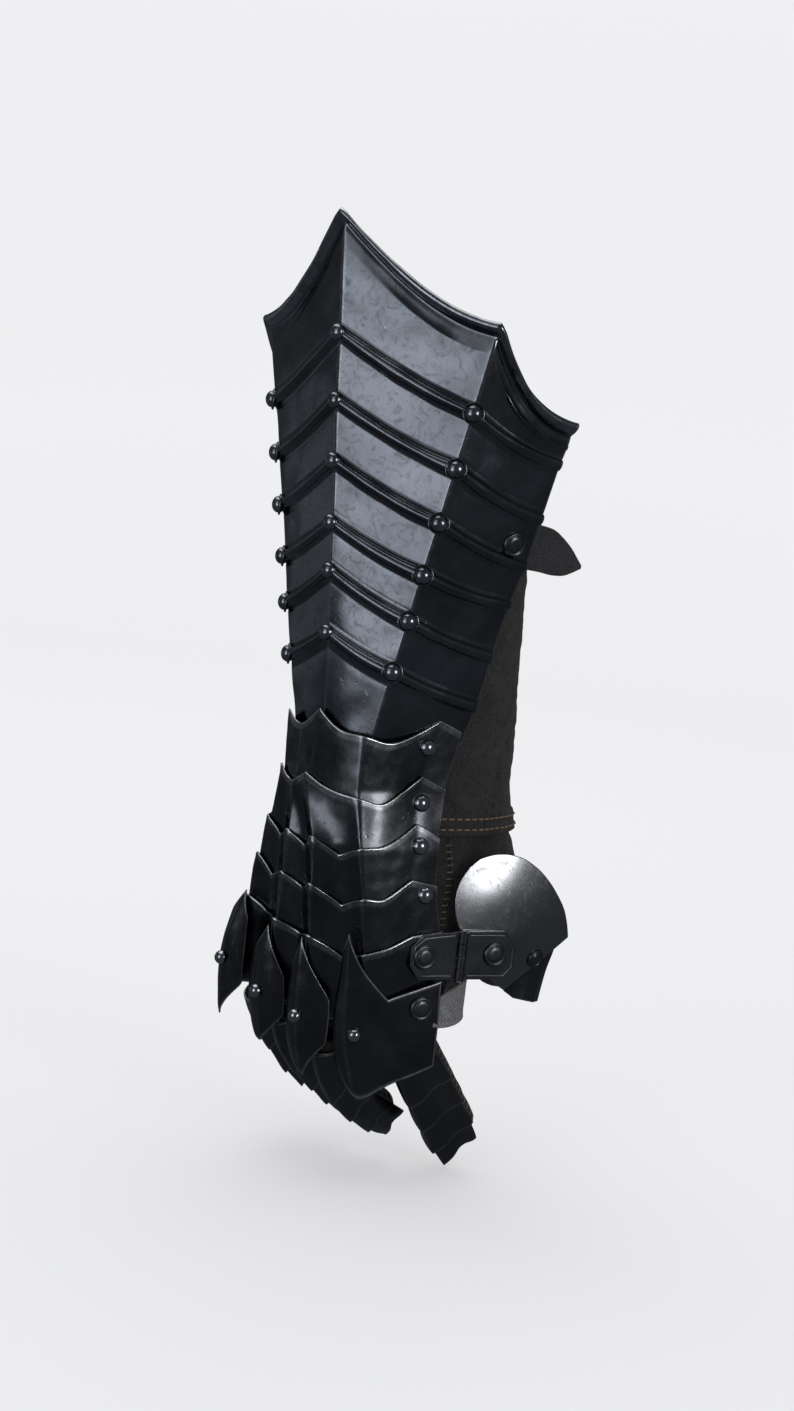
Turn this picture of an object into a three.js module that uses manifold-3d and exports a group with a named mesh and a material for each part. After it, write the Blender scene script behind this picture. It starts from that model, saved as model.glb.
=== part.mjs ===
// Armoured gauntlet for the right hand, fingers hanging down.
// Millimetres, +Z towards the elbow, back of the hand towards -Y, thumb side +X.
// The origin lies on the forearm axis just above the wrist.
import * as THREE from 'three';
import { mergeVertices } from 'three/addons/utils/BufferGeometryUtils.js';
import Module from 'manifold-3d';

const wasm = await Module();
wasm.setup();

// ---------------------------------------------------------------- driving sizes
const STEEL = 1.0;            // plate thickness
const LEATHER = 1.6;          // glove and strap thickness
const LIFT = 1.3;             // how far a plate's top edge stands off, and its bottom edge sinks in
const OVERLAP = 8;            // length of each plate hidden under the next
const RIB_HEIGHT = 2.6;       // raised rib on the cuff
const RIB_HALF = 3.7;         // half its width
const BOSS_R = 4.3;           // bosses where ribs meet the cuff's ridges
const DOME_R = 3.9;           // domed rivet heads
const FLAT_R = 5.7;           // flat rivet heads
const LIP = 3.2;              // outward roll of the cuff's top edge
const LAME_T = 0.9;           // finger plates
const FLARE = 1.75;           // how far a finger plate opens towards its lower edge

// ---------------------------------------------------------------- helpers
const V = (x, y, z) => new THREE.Vector3(x, y, z);
const lerp = (a, b, t) => a + (b - a) * t;
const clamp = (x, a, b) => Math.max(a, Math.min(b, x));
function table(rows, z) {     // linear interpolation in rows [key, ...values], keys descending or ascending
  const up = rows[0][0] < rows[rows.length - 1][0];
  const r = up ? rows : rows.slice().reverse();
  if (z <= r[0][0]) return r[0].slice(1);
  for (let i = 1; i < r.length; i++) if (z <= r[i][0]) {
    const f = (z - r[i - 1][0]) / (r[i][0] - r[i - 1][0]);
    return r[i].slice(1).map((b, k) => lerp(r[i - 1][k + 1], b, f));
  }
  return r[r.length - 1].slice(1);
}
function at(list, u) {        // fractional index into a list of numbers or arrays
  const i = clamp(Math.floor(u), 0, list.length - 2), f = u - i;
  return Array.isArray(list[i]) ? list[i].map((a, k) => lerp(a, list[i + 1][k], f)) : lerp(list[i], list[i + 1], f);
}
function fromTriangles(pos, idx) {
  let vol = 0;
  for (let k = 0; k < idx.length; k += 3) {
    const [a, b, c] = [pos[idx[k]], pos[idx[k + 1]], pos[idx[k + 2]]];
    vol += a.dot(b.clone().cross(c));
  }
  if (vol < 0) for (let k = 0; k < idx.length; k += 3) [idx[k + 1], idx[k + 2]] = [idx[k + 2], idx[k + 1]];
  const g = new THREE.BufferGeometry();
  g.setAttribute('position', new THREE.Float32BufferAttribute(pos.flatMap(p => [p.x, p.y, p.z]), 3));
  g.setIndex(idx);
  return g;
}
function normals(grid, wrap) {
  const n = grid.length, m = grid[0].length;
  return grid.map((row, j) => row.map((p, i) => {
    const a = wrap ? row[(i + m - 1) % m] : row[Math.max(i - 1, 0)];
    const b = wrap ? row[(i + 1) % m] : row[Math.min(i + 1, m - 1)];
    const c = grid[Math.max(j - 1, 0)][i], d = grid[Math.min(j + 1, n - 1)][i];
    return b.clone().sub(a).cross(d.clone().sub(c)).normalize();
  }));
}
// grid[j][i]: rows j go up (+Z), columns i go from the -X side round the back of the hand to +X,
// so that the row direction crossed with the column direction points out.
function plate(grid, t, wrap = false) {
  const n = grid.length, m = grid[0].length, N = normals(grid, wrap);
  const pos = [], idx = [];
  for (const side of [0, 1]) for (let j = 0; j < n; j++) for (let i = 0; i < m; i++)
    pos.push(grid[j][i].clone().addScaledVector(N[j][i], -t * side));
  const O = (j, i) => j * m + (wrap ? i % m : i), I = (j, i) => n * m + O(j, i);
  const quad = (a, b, c, d) => idx.push(a, b, c, a, c, d);
  const cols = wrap ? m : m - 1;
  for (let j = 0; j < n - 1; j++) for (let i = 0; i < cols; i++) {
    quad(O(j, i), O(j, i + 1), O(j + 1, i + 1), O(j + 1, i));
    quad(I(j, i), I(j + 1, i), I(j + 1, i + 1), I(j, i + 1));
  }
  for (let i = 0; i < cols; i++) {
    quad(O(0, i), I(0, i), I(0, i + 1), O(0, i + 1));
    quad(O(n - 1, i), O(n - 1, i + 1), I(n - 1, i + 1), I(n - 1, i));
  }
  if (!wrap) for (let j = 0; j < n - 1; j++) {
    quad(O(j, 0), O(j + 1, 0), I(j + 1, 0), I(j, 0));
    quad(O(j, m - 1), I(j, m - 1), I(j + 1, m - 1), O(j + 1, m - 1));
  }
  return fromTriangles(pos, idx);
}
// closed sack: a tube open at its first row, closed at its last
function sack(grid, t) {
  const n = grid.length, m = grid[0].length, N = normals(grid, true);
  const pos = [], idx = [];
  for (const side of [0, 1]) for (let j = 0; j < n; j++) for (let i = 0; i < m; i++)
    pos.push(grid[j][i].clone().addScaledVector(N[j][i], -t * side));
  const O = (j, i) => j * m + i % m, I = (j, i) => n * m + O(j, i);
  const quad = (a, b, c, d) => idx.push(a, b, c, a, c, d);
  for (let j = 0; j < n - 1; j++) for (let i = 0; i < m; i++) {
    quad(O(j, i), O(j, i + 1), O(j + 1, i + 1), O(j + 1, i));
    quad(I(j, i), I(j + 1, i), I(j + 1, i + 1), I(j, i + 1));
  }
  for (let i = 0; i < m; i++) quad(O(0, i), I(0, i), I(0, i + 1), O(0, i + 1));
  const mean = (r) => r.reduce((s, p) => s.add(p), V(0, 0, 0)).multiplyScalar(1 / r.length);
  const co = mean(grid[n - 1]), ci = co.clone().add(mean(grid[n - 2]).sub(co).normalize().multiplyScalar(t));
  pos.push(co, ci);
  const a = pos.length - 2, b = pos.length - 1;
  for (let i = 0; i < m; i++) { idx.push(O(n - 1, i), O(n - 1, i + 1), a); idx.push(I(n - 1, i + 1), I(n - 1, i), b); }
  return fromTriangles(pos, idx);
}
function solid(g0) {
  let g = g0.index ? g0.clone() : g0.clone();
  g.deleteAttribute('normal'); g.deleteAttribute('uv');
  g = mergeVertices(g, 1e-4);
  return new wasm.Manifold(new wasm.Mesh({ numProp: 3, vertProperties: new Float32Array(g.attributes.position.array), triVerts: new Uint32Array(g.index.array) }));
}
function geometry(man) {
  const m = man.getMesh(), g = new THREE.BufferGeometry();
  g.setAttribute('position', new THREE.Float32BufferAttribute(m.vertProperties, 3));
  g.setIndex([...m.triVerts]);
  return g;
}
function place(g, p, n) {     // turn +Z of a geometry to n and move it to p
  const q = new THREE.Quaternion().setFromUnitVectors(V(0, 0, 1), n.clone().normalize());
  return g.clone().applyQuaternion(q).translate(p.x, p.y, p.z);
}
const boss = (r, p, n, sides = 7) => place(new THREE.LatheGeometry([[0, -r * 0.4], [r, -r * 0.1], [r * 0.7, r * 0.62], [0, r * 0.85]].map(a => new THREE.Vector2(...a)), sides).rotateX(Math.PI / 2), p, n);
function dome(r, h, p, n, lift = 0.35, sides = 8) {
  const prof = [[0, 0], [r, 0], [r * 0.8, h * 0.68], [0, h]].map(a => new THREE.Vector2(...a));
  return place(new THREE.LatheGeometry(prof, sides).rotateX(Math.PI / 2), p.clone().addScaledVector(n, lift), n);
}
function disc(r, h, p, n, lift = 0.35, sides = 10) {
  const prof = [[0, 0], [r, 0], [r, h * 0.6], [r * 0.85, h], [0, h]].map(a => new THREE.Vector2(...a));
  return place(new THREE.LatheGeometry(prof, sides).rotateX(Math.PI / 2), p.clone().addScaledVector(n, lift), n);
}

// ---------------------------------------------------------------- scene
const gauntlet = new THREE.Group();
const COLOURS = { steel: [0x17181b, 0.32, 0.85], rivet: [0x202226, 0.28, 0.9], leather: [0x24211f, 0.85, 0.0], strap: [0x2b2a2a, 0.75, 0.0] };
function add(name, geo, kind, parent = gauntlet) {
  const [color, roughness, metalness] = COLOURS[kind];
  if (parent !== gauntlet) geo.translate(-parent.position.x, -parent.position.y, -parent.position.z);
  const m = new THREE.Mesh(geo, new THREE.MeshStandardMaterial({ color, roughness, metalness }));
  m.name = name;
  parent.add(m);
}

// ---------------------------------------------------------------- cuff
// [z, half width at the corner ridges, their y, y of the centre ridge, half width at the rear edges, their y]
const CUFF = [
  [-20, 21.8, -43.9, -48.6, 38.2, 1.0],
  [6, 28.0, -43.6, -51.0, 45.3, 2.4],
  [30, 33.8, -43.2, -53.3, 50.9, 2.6],
  [54, 39.6, -42.8, -55.6, 57.0, 4.0],
  [72, 44.0, -42.5, -57.4, 62.5, 5.0],
  [95, 49.6, -42.2, -59.6, 68.4, 5.2],
  [120, 55.7, -41.7, -62.1, 74.8, 5.6],
  [138, 60.1, -41.4, -63.9, 82.0, 4.0],
  [176, 69.3, -40.8, -67.6, 91.0, 2.0],
  [221, 80.3, -40.0, -72.0, 101.0, 0.0],
];
// rows up the cuff: [z on the centre ridge, z on the corner ridges, z on the rear edges, sag between them]
const CUFF_BOTTOM = [-12, -20, -13, 0];
const CUFF_RIBS = [
  [34.2, 20.3, 6.1, 1.5],
  [62.3, 43.9, 30.2, 1.8],
  [83.8, 65.0, 54.4, 2.0],
  [111.3, 88.6, 72.5, 2.3],
  [137.7, 112.7, 94.7, 2.6],
  [167.2, 137.3, 119.6, 3.0],
];
const CUFF_TOP = [220.2, 176.1, 138.5, 9.0];
const CUFF_COLS = [-2, -1.67, -1.33, -1, -0.67, -0.33, 0, 0.33, 0.67, 1, 1.33, 1.67, 2];
function cuffPoint(u, row, dz, out) {
  const a = Math.abs(u), sgn = Math.sign(u) || 1;
  const p = a <= 1 ? a : a - 1;
  const z = (a <= 1 ? lerp(row[0], row[1], p) : lerp(row[1], row[2], p)) - row[3] * 4 * p * (1 - p) + dz;
  const [cx, cy, ry, ex, ey] = table(CUFF, z);
  const A = a <= 1 ? [0, ry] : [cx, cy], B = a <= 1 ? [cx, cy] : [ex, ey];
  const n1 = V(cy - ry, -cx, 0).normalize(), n2 = V(ey - cy, -(ex - cx), 0).normalize();
  let n = a < 1 ? n1 : n2;
  if (a === 1) n = n1.clone().add(n2).normalize();
  if (a === 0) n = V(0, -1, 0);
  return V(sgn * (lerp(A[0], B[0], p) + n.x * out), lerp(A[1], B[1], p) + n.y * out, z);
}
const cuffRows = [];
const addRow = (row, dz, out) => cuffRows.push(CUFF_COLS.map(u => cuffPoint(u, row, dz, out)));
addRow(CUFF_BOTTOM, 0, 0);
for (const r of CUFF_RIBS) { addRow(r, -RIB_HALF, 0); addRow(r, 0, RIB_HEIGHT); addRow(r, RIB_HALF, 0); }
addRow([193, 157, 129, 6], 0, 0);
addRow(CUFF_TOP, -8, 0);
addRow(CUFF_TOP, -3.2, LIP);
addRow(CUFF_TOP, 0, LIP * 0.85);
let cuff = solid(plate(cuffRows, STEEL));
for (const r of CUFF_RIBS) {
  cuff = cuff.add(solid(boss(BOSS_R * 0.92, cuffPoint(0, r, 0, RIB_HEIGHT * 0.4), V(0, -1, 0))));
  for (const s of [-1, 1]) {
    const [cx, cy, ry, ex, ey] = table(CUFF, r[1]);
    const n = V(cy - ry, -cx, 0).normalize().add(V(ey - cy, -(ex - cx), 0).normalize()).normalize();
    cuff = cuff.add(solid(boss(BOSS_R * 0.93, cuffPoint(s, r, 0, RIB_HEIGHT * 0.2), V(s * n.x, n.y, 0))));
  }
}
add('cuff', geometry(cuff), 'steel');

// ---------------------------------------------------------------- wrist and back-of-hand plates
// Column lines across the hand: little-finger ridge P, valley, ring ridge R, valley, middle ridge M,
// valley, index ridge I. Side panels leave P and I at 'az' and reach a cusp line and the rear edge.
// [z, Px,Py, vx,vy, Rx,Ry, vx,vy, Mx,My, vx,vy, Ix,Iy, side azimuth, length to cusp, length to rear]
const HAND = [
  [0,    -23, -48.0,   -17, -49.2,   -11, -50.4,  -5.5, -51.5,    0, -52.6,  11.5, -50.3,    23, -48.0, 69, 38, 51],
  [-35,  -24.5, -48.8, -19, -50.1, -13.5, -51.5,    -9, -52.8,   -4, -54.3,    10, -52.6,    24, -49.3, 67, 29, 44],
  [-60,  -29, -50.5, -19.5, -49.0, -10.5, -55.8,    -1, -53.0,  8.5, -59.7,  18.5, -52.0,    30, -50.6, 66, 28, 39.3],
  [-82,  -34, -51.0, -22.5, -49.5, -11.5, -55.6,  -0.5, -51.7, 10.5, -59.8,    21, -49.8,  33.5, -49.0, 66, 22, 36.9],
  [-105, -37.3, -52.1, -24.5, -49.0, -12.5, -56.5,  -1, -49.5,   11, -58.0,    23, -46.8,  35.5, -47.4, 64, 24, 40.5],
  [-138, -38.5, -50.5, -27, -45.0,   -14, -52.5,  -1.5, -47.0,   11, -54.5,  23.5, -42.5,  35.2, -42.5, 64, 22, 37.5],
];
const SIDE_BULGE = 1.2;
function handColumns(z) {     // 13 points from the little-finger rear edge to the thumb rear edge
  const r = table(HAND, z), pts = [];
  for (let k = 0; k < 7; k++) pts.push([r[2 * k], r[2 * k + 1]]);
  const [az, tc, tr] = r.slice(14), c = Math.cos(az * Math.PI / 180), s = Math.sin(az * Math.PI / 180);
  const P = pts[0], I = pts[6], side = (t, b) => [[P[0] - c * t - s * b, P[1] + s * t - c * b], [I[0] + c * t + s * b, I[1] + s * t - c * b]];
  const a = side(tc * 0.45, SIDE_BULGE), b = side(tc, SIDE_BULGE * 0.8), d = side(tr, 0);
  return [d[0], b[0], a[0], ...pts, a[1], b[1], d[1]];
}
// height of each plate's top edge on the 13 column lines
const TOPS = {
  lame_1: [-6.5, -1.4, -12, -5, -9, -9.5, -6, -1, -9, -10.3, -12.3, -1.4, -6.5],
  lame_2: [-33, -27.3, -37, -30.5, -35, -36.5, -34, -31, -36.5, -38.5, -40, -27.3, -33.1],
  lame_3: [-55, -48.7, -55, -55.7, -63.4, -58.4, -64.5, -58.2, -65.1, -60.5, -58.5, -48.7, -55],
  lame_4: [-76.4, -73.6, -80, -73.8, -82.9, -78.6, -84.3, -79.4, -87.9, -83, -82.5, -73.6, -76.4],
  lame_5: [-97.5, -99.2, -104, -94.4, -100.5, -100.9, -106.2, -103.2, -112.3, -108.3, -105, -99.2, -97.5],
};
const LAST = [-126, -129, -134, -138, -138, -141, -140, -143, -142, -140, -137, -132, -126];
const lameNames = Object.keys(TOPS);
function lameAt(i, u, v) {     // point and outward direction of a plate
  const a = lamePoint(i, u - 0.2, v).p, b = lamePoint(i, u + 0.2, v).p, c = lamePoint(i, u, v + 0.08).p, d = lamePoint(i, u, v - 0.08).p;
  return { p: lamePoint(i, u, v).p, n: b.sub(a).cross(d.sub(c)).normalize() };
}
function lamePoint(i, u, v) { // v = 0 at the top edge, 1 at the bottom edge
  const zt = at(TOPS[lameNames[i]], u);
  const zb = i < 4 ? at(TOPS[lameNames[i + 1]], u) - OVERLAP : at(LAST, u);
  const z = lerp(zt, zb, v), [x, y] = at(handColumns(z), u);
  const a = at(handColumns(z), Math.max(u - 0.35, 0)), b = at(handColumns(z), Math.min(u + 0.35, 12));
  const n = V(b[1] - a[1], -(b[0] - a[0]), 0).normalize(), out = LIFT * (1 - 2 * v);
  return { p: V(x + n.x * out, y + n.y * out, z), n };
}
lameNames.forEach((name, i) => {
  const us = [0, 0.5, 1, 1.5, 2, 3, 4, 5, 6, 7, 8, 9, 10, 10.5, 11, 11.5, 12];
  const grid = [1, 0.66, 0.33, 0].map(v => us.map(u => lamePoint(i, u, v).p));
  add(name, plate(grid, STEEL), 'steel');
});

// ---------------------------------------------------------------- knuckle plates
// each: top and bottom height of every column, then sections [z, x..., y...]
const KNUCKLES = {
  knuckle_middle: {
    top: [-134, -117, -103.9, -117, -132], bottom: [-156, -165, -170, -161, -152],
    sections: [
      [-104, 5, 8, 10.7, 13.5, 16.5, -58.5, -61.0, -62.3, -60.5, -57.5],
      [-135, 0.5, 4.5, 11, 17.5, 23.5, -56.2, -60.0, -62.0, -57.8, -51.8],
      [-155, 1, 5, 11, 17, 22.5, -53.5, -57.0, -58.8, -55.5, -50.8],
      [-170, 3.5, 6, 11, 15.5, 19.5, -48.5, -51.0, -52.2, -50.5, -48.0]],
  },
  knuckle_ring: {
    top: [-126, -115, -103.9, -114, -128], bottom: [-152, -158.5, -160, -153, -145],
    sections: [
      [-104, -19, -16.5, -13.2, -10.5, -8, -57.0, -58.8, -59.6, -58.8, -57.0],
      [-130, -27, -23, -16, -9, -3.8, -53.0, -57.8, -60.6, -58.4, -54.0],
      [-150, -26, -22, -16, -9.5, -4.5, -51.0, -55.2, -57.5, -55.3, -51.5],
      [-160, -23, -20, -16, -11, -7, -50.0, -52.5, -54.0, -52.0, -50.0]],
  },
  knuckle_little: {
    top: [-112, -101, -92, -98, -106], bottom: [-141, -148, -153.5, -145, -137],
    sections: [
      [-92, -38.5, -36, -33.2, -31.5, -30.5, -54.0, -55.2, -55.4, -55.2, -54.8],
      [-125, -50.5, -47.5, -42, -36.5, -31.8, -48.0, -54.0, -58.0, -56.5, -53.6],
      [-140, -50, -47.5, -43, -37.5, -33, -48.5, -53.5, -57.0, -55.5, -52.5],
      [-154, -46, -45, -43, -41, -39, -52.0, -54.0, -55.4, -54.6, -53.0]],
  },
  knuckle_index: {
    top: [-114, -106, -98.5, -109, -119.5, -129, -124.5, -120], bottom: [-159, -169, -176, -176, -172.5, -168.5, -165, -160.6],
    sections: [
      [-98.5, 29, 30.5, 32.5, 34.5, 36.5, 41.5, 47.5, 54.2, -53.5, -54.5, -54.8, -53.2, -50.8, -37, -24, -10.5],
      [-125, 25.5, 28, 32, 36, 39.2, 43.0, 48.8, 54.8, -50.5, -52.3, -52.0, -48.0, -42.5, -35.2, -23.6, -10.8],
      [-145, 24.3, 27.5, 31.5, 35.5, 39, 43, 48.7, 54.5, -49.5, -51.5, -50.0, -45.2, -39.6, -32.2, -21.2, -9.8],
      [-176, 28, 30, 33, 37, 41, 45, 49.5, 53.5, -40.5, -41, -40.2, -36.8, -31.8, -24.8, -16.8, -9.5]],
  },
};
function knucklePoint(k, u, v) {
  const K = KNUCKLES[k], n = K.top.length;
  const z = lerp(at(K.top, u), at(K.bottom, u), v), row = table(K.sections, z);
  return V(at(row.slice(0, n), u), at(row.slice(n), u), z);
}
function knuckleAt(k, u, z) { // point and outward direction of a plate at a column and a height
  const K = KNUCKLES[k], v = (z - at(K.top, u)) / (at(K.bottom, u) - at(K.top, u)), e = 0.3;
  const a = knucklePoint(k, u - e, v), b = knucklePoint(k, u + e, v), c = knucklePoint(k, u, v + 0.05), d = knucklePoint(k, u, v - 0.05);
  return { p: knucklePoint(k, u, v), n: b.sub(a).cross(d.sub(c)).normalize() };
}
for (const k of Object.keys(KNUCKLES)) {
  const n = KNUCKLES[k].top.length, us = [];
  for (let i = 0; i < n; i++) us.push(i);
  add(k, plate([1, 0.8, 0.6, 0.4, 0.2, 0].map(v => us.map(u => knucklePoint(k, u, v))), STEEL), 'steel');
}

// ---------------------------------------------------------------- fingers
// each: x of its plane, half width w, height h of the back above the centre line, centre line [y, z] down
// the finger, and where the plates are cut along it
const FINGERS = {
  index: { x: 37.4, w: 11.4, h: 14.2, path: [[-26, -134], [-10, -153], [5, -170], [17, -184.5], [28, -197.5], [35, -206]], cuts: [0.30, 0.50, 0.68, 0.85, 1.0] },
  middle: { x: 11.5, w: 10.0, h: 11.2, path: [[-36, -132], [-36, -150], [-28, -168], [-13, -183], [2, -192], [12, -197]], cuts: [0.30, 0.48, 0.65, 0.82, 1.0] },
  ring: { x: -15.0, w: 10.0, h: 11.2, path: [[-34, -128], [-36, -143], [-30, -158], [-16, -172], [-1, -183.5], [11, -193]], cuts: [0.26, 0.45, 0.64, 0.82, 1.0] },
  little: { x: -40.5, w: 9.2, h: 10.3, path: [[-33, -122], [-31, -140], [-19, -158], [-4, -174], [9, -187]], cuts: [0.30, 0.54, 0.78, 1.0] },
};
function fingerFrame(f, s) {  // s = 0..1 along the centre line
  const P = FINGERS[f].path.map(([y, z]) => V(FINGERS[f].x, y, z));
  const c = new THREE.CatmullRomCurve3(P, false, 'centripetal');
  const p = c.getPointAt(clamp(s, 0, 1)), t = c.getTangentAt(clamp(s, 0, 1));
  if (s > 1) p.addScaledVector(t, (s - 1) * c.getLength());
  return { p, t, n: V(0, t.z, -t.y).normalize(), len: c.getLength() };   // n points out of the finger's back
}
const LAME_ANGLES = [-104, -68, -32, 0, 32, 68, 104].map(a => a * Math.PI / 180);
const RIDGE = 1.1, POINT = 5.5;
function fingerSection(f, s, ang, off) {
  const F = FINGERS[f], { p, n } = fingerFrame(f, s);
  const w = F.w + off, h = F.h + off + RIDGE * Math.max(0, 1 - Math.abs(ang) / 0.5);
  return p.clone().add(V(w * Math.sin(ang), 0, 0)).addScaledVector(n, h * Math.cos(ang) * (Math.cos(ang) < 0 ? 0.9 : 1));
}
for (const f of Object.keys(FINGERS)) {
  const cuts = FINGERS[f].cuts, len = fingerFrame(f, 0).len;
  for (let k = 0; k < cuts.length - 1; k++) {
    const tip = k === cuts.length - 2;
    const s0 = cuts[k] - 1.5 / len, s1 = cuts[k + 1] + (tip ? 0 : 3.0 / len);
    const grid = [1, 0.8, 0.6, 0.4, 0.2, 0].map(v => LAME_ANGLES.map(a => {
      const pt = POINT * Math.max(0, 1 - Math.abs(a) / 1.3) / len;
      const s = lerp(s0, s1 + pt, v);
      const out = tip ? FLARE * 0.8 * v - 2.6 * v * v : FLARE * v;
      return fingerSection(f, s, a, out);
    }));
    // rows run from the lower edge up, columns from -X to +X
    add(`${f}_lame_${tip ? 'tip' : k + 1}`, plate(grid, LAME_T), 'steel');
  }
}

// ---------------------------------------------------------------- thumb guard and hinge
const PIN = V(59.2, -5.3, 0), HINGE_AZ = 66 * Math.PI / 180;
const E1 = V(Math.cos(HINGE_AZ), Math.sin(HINGE_AZ), 0), EN = V(Math.sin(HINGE_AZ), -Math.cos(HINGE_AZ), 0);
const hinge = (t, z, d) => PIN.clone().addScaledVector(E1, t).addScaledVector(EN, d).setZ(z);
const thumbGuard = new THREE.Group();   // everything that swings on the hinge
thumbGuard.position.copy(PIN);
gauntlet.add(thumbGuard);
const LEAF_OUT = -0.6, LEAF_T = 1.4, BARREL_R = 2.2, PIN_R = 1.1, BORE_R = 1.45;
const LEAF_TOP = -96.2, LEAF_BOTTOM = -118.8;
const DISC = { t: 26.8, z: -91.3, axis: 38.4, depth: -2.5 };
// outline of the thumb disc: [w across the fold, p at its left edge, p at its right edge]
const DISC_EDGE = [
  [29.4, -19.3, 21.4], [25.5, -20.8, 22.3], [20, -22.6, 23.4], [13, -24.3, 24.6], [5, -25.2, 25.0],
  [-4, -25.2, 24.8], [-14, -23.8, 22.9], [-22.8, -20, 18.6], [-28.5, -15, 13], [-32, -9, 7], [-33.6, -3.5, 2.5],
];
const KNUCKLE_Z = [[-96.2, -101.5, 'hand'], [-101.9, -107.2, 'thumb'], [-107.6, -112.9, 'hand'], [-113.3, -118.8, 'thumb']];
function leafPlate(outline) { // outline in (t, z), extruded from the inner face to the outer face
  const s = new THREE.Shape(outline.map(([t, z]) => new THREE.Vector2(t, z)));
  const g = new THREE.ExtrudeGeometry(s, { depth: LEAF_T, bevelEnabled: false });
  const m = new THREE.Matrix4().makeBasis(E1, V(0, 0, 1), EN.clone()).setPosition(hinge(0, 0, LEAF_OUT - LEAF_T));
  g.applyMatrix4(m);
  return g;
}
function barrel(z0, z1) {
  const prof = [[BORE_R, z0], [BARREL_R, z0], [BARREL_R, z1], [BORE_R, z1], [BORE_R, z0]].map(a => new THREE.Vector2(...a));
  return new THREE.LatheGeometry(prof, 14).rotateX(Math.PI / 2).scale(1, 1, 1).translate(PIN.x, PIN.y, 0);
}
const cyl = (r, z0, z1, n = 14) => new THREE.CylinderGeometry(r, r, Math.abs(z1 - z0), n).rotateX(Math.PI / 2).translate(PIN.x, PIN.y, (z0 + z1) / 2);
for (const who of ['hand', 'thumb']) {
  const outline = who === 'hand'
    ? [[0, LEAF_BOTTOM], [0, LEAF_TOP], [-19.5, LEAF_TOP - 1.6], [-25.6, LEAF_TOP - 7.2], [-25.6, LEAF_BOTTOM + 6.5], [-20.5, LEAF_BOTTOM]]
    : [[0, LEAF_TOP], [0, LEAF_BOTTOM], [24, LEAF_BOTTOM], [28.6, LEAF_BOTTOM + 5.5], [28.6, LEAF_TOP - 7.5], [22.5, LEAF_TOP]];
  let m = solid(leafPlate(outline));
  for (const [z0, z1, w] of KNUCKLE_Z) {
    if (w === who) m = m.add(solid(cyl(BARREL_R, z0, z1)));
    else m = m.subtract(solid(cyl(BARREL_R + 0.6, z0 + 0.4, z1 - 0.4)));
  }
  m = m.subtract(solid(cyl(BORE_R, LEAF_TOP + 2, LEAF_BOTTOM - 2)));
  add(`hinge_leaf_${who}`, geometry(m), 'steel', who === 'thumb' ? thumbGuard : gauntlet);
}
add('hinge_pin', cyl(PIN_R, LEAF_TOP + 0.8, LEAF_BOTTOM - 0.8), 'rivet');

const ax = DISC.axis * Math.PI / 180, DP = [Math.cos(ax), Math.sin(ax)], DW = [Math.sin(ax), -Math.cos(ax)];
function discPoint(w, p, extra = 0) { // w down across the fold, p along it
  const bend = w > 4 ? (w - 4) ** 2 / 90 : (w - 4) ** 2 / 300;
  return hinge(DISC.t + DW[0] * w + DP[0] * p, DISC.z + DW[1] * w + DP[1] * p, DISC.depth - bend + extra);
}
{
  const grid = DISC_EDGE.map(([w, a, b]) => [0, 0.1, 0.25, 0.42, 0.58, 0.75, 0.9, 1].map(f => discPoint(w, lerp(a, b, f))));
  add('thumb_disc', plate(grid, 1.2), 'steel', thumbGuard);
  // thumb plate hanging below the fold: columns (t, z, depth), lowest row first
  const g = [
    [[34.0, -129.0, -17.0], [37.5, -131.4, -14.2], [43.0, -132.3, -13.2], [49.5, -133.8, -14.4], [54.3, -134.6, -18.5]],
    [[32.8, -127.6, -16.5], [37.0, -126.5, -13.6], [43.5, -124.5, -13.0], [50.5, -122.0, -13.8], [56.0, -119.5, -17.0]],
    [[31.5, -125.5, -15.5], [36.5, -121.5, -12.6], [44.0, -116.2, -12.2], [51.5, -110.0, -12.6], [58.2, -105.0, -14.5]],
    [[26.9, -117.0, -11.0], [32.9, -111.9, -8.6], [40.8, -105.7, -8.2], [48.6, -99.5, -8.8], [53.5, -95.8, -11.5]],
  ].map(r => r.map(([t, z, d]) => hinge(t, z, d)));
  add('thumb_lame', plate(g, STEEL), 'steel', thumbGuard);
}

// ---------------------------------------------------------------- leather glove
// half sections: [z, front y, shoulder x,y, side x,y, widest x,y, rear shoulder x,y, rear y]
const SLEEVE = [
  [84, -44, 27, -39.5, 43, -13, 48.5, 15, 33, 43.5, 53.5],
  [35, -46, 24, -40.5, 38.5, -12, 46, 18, 33.7, 47.2, 58.5],
  [0, -45.5, 20, -40.5, 33.5, -11, 43.5, 20, 34, 49.4, 60.5],
  [-12, -45.0, 19, -40.5, 31, -13, 42.5, 20, 34.4, 49.5, 61],
  [-22, -45.0, 19, -40.5, 29.5, -14, 41.7, 20, 34.9, 49.6, 61.5],
  [-42, -46.3, 22, -42.7, 36.5, -15.5, 46.5, 18.5, 37.2, 49.6, 63],
  [-54, -46.5, 23.5, -43.4, 38.5, -16.3, 48.4, 18, 38.8, 50.6, 64.5],
];
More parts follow.
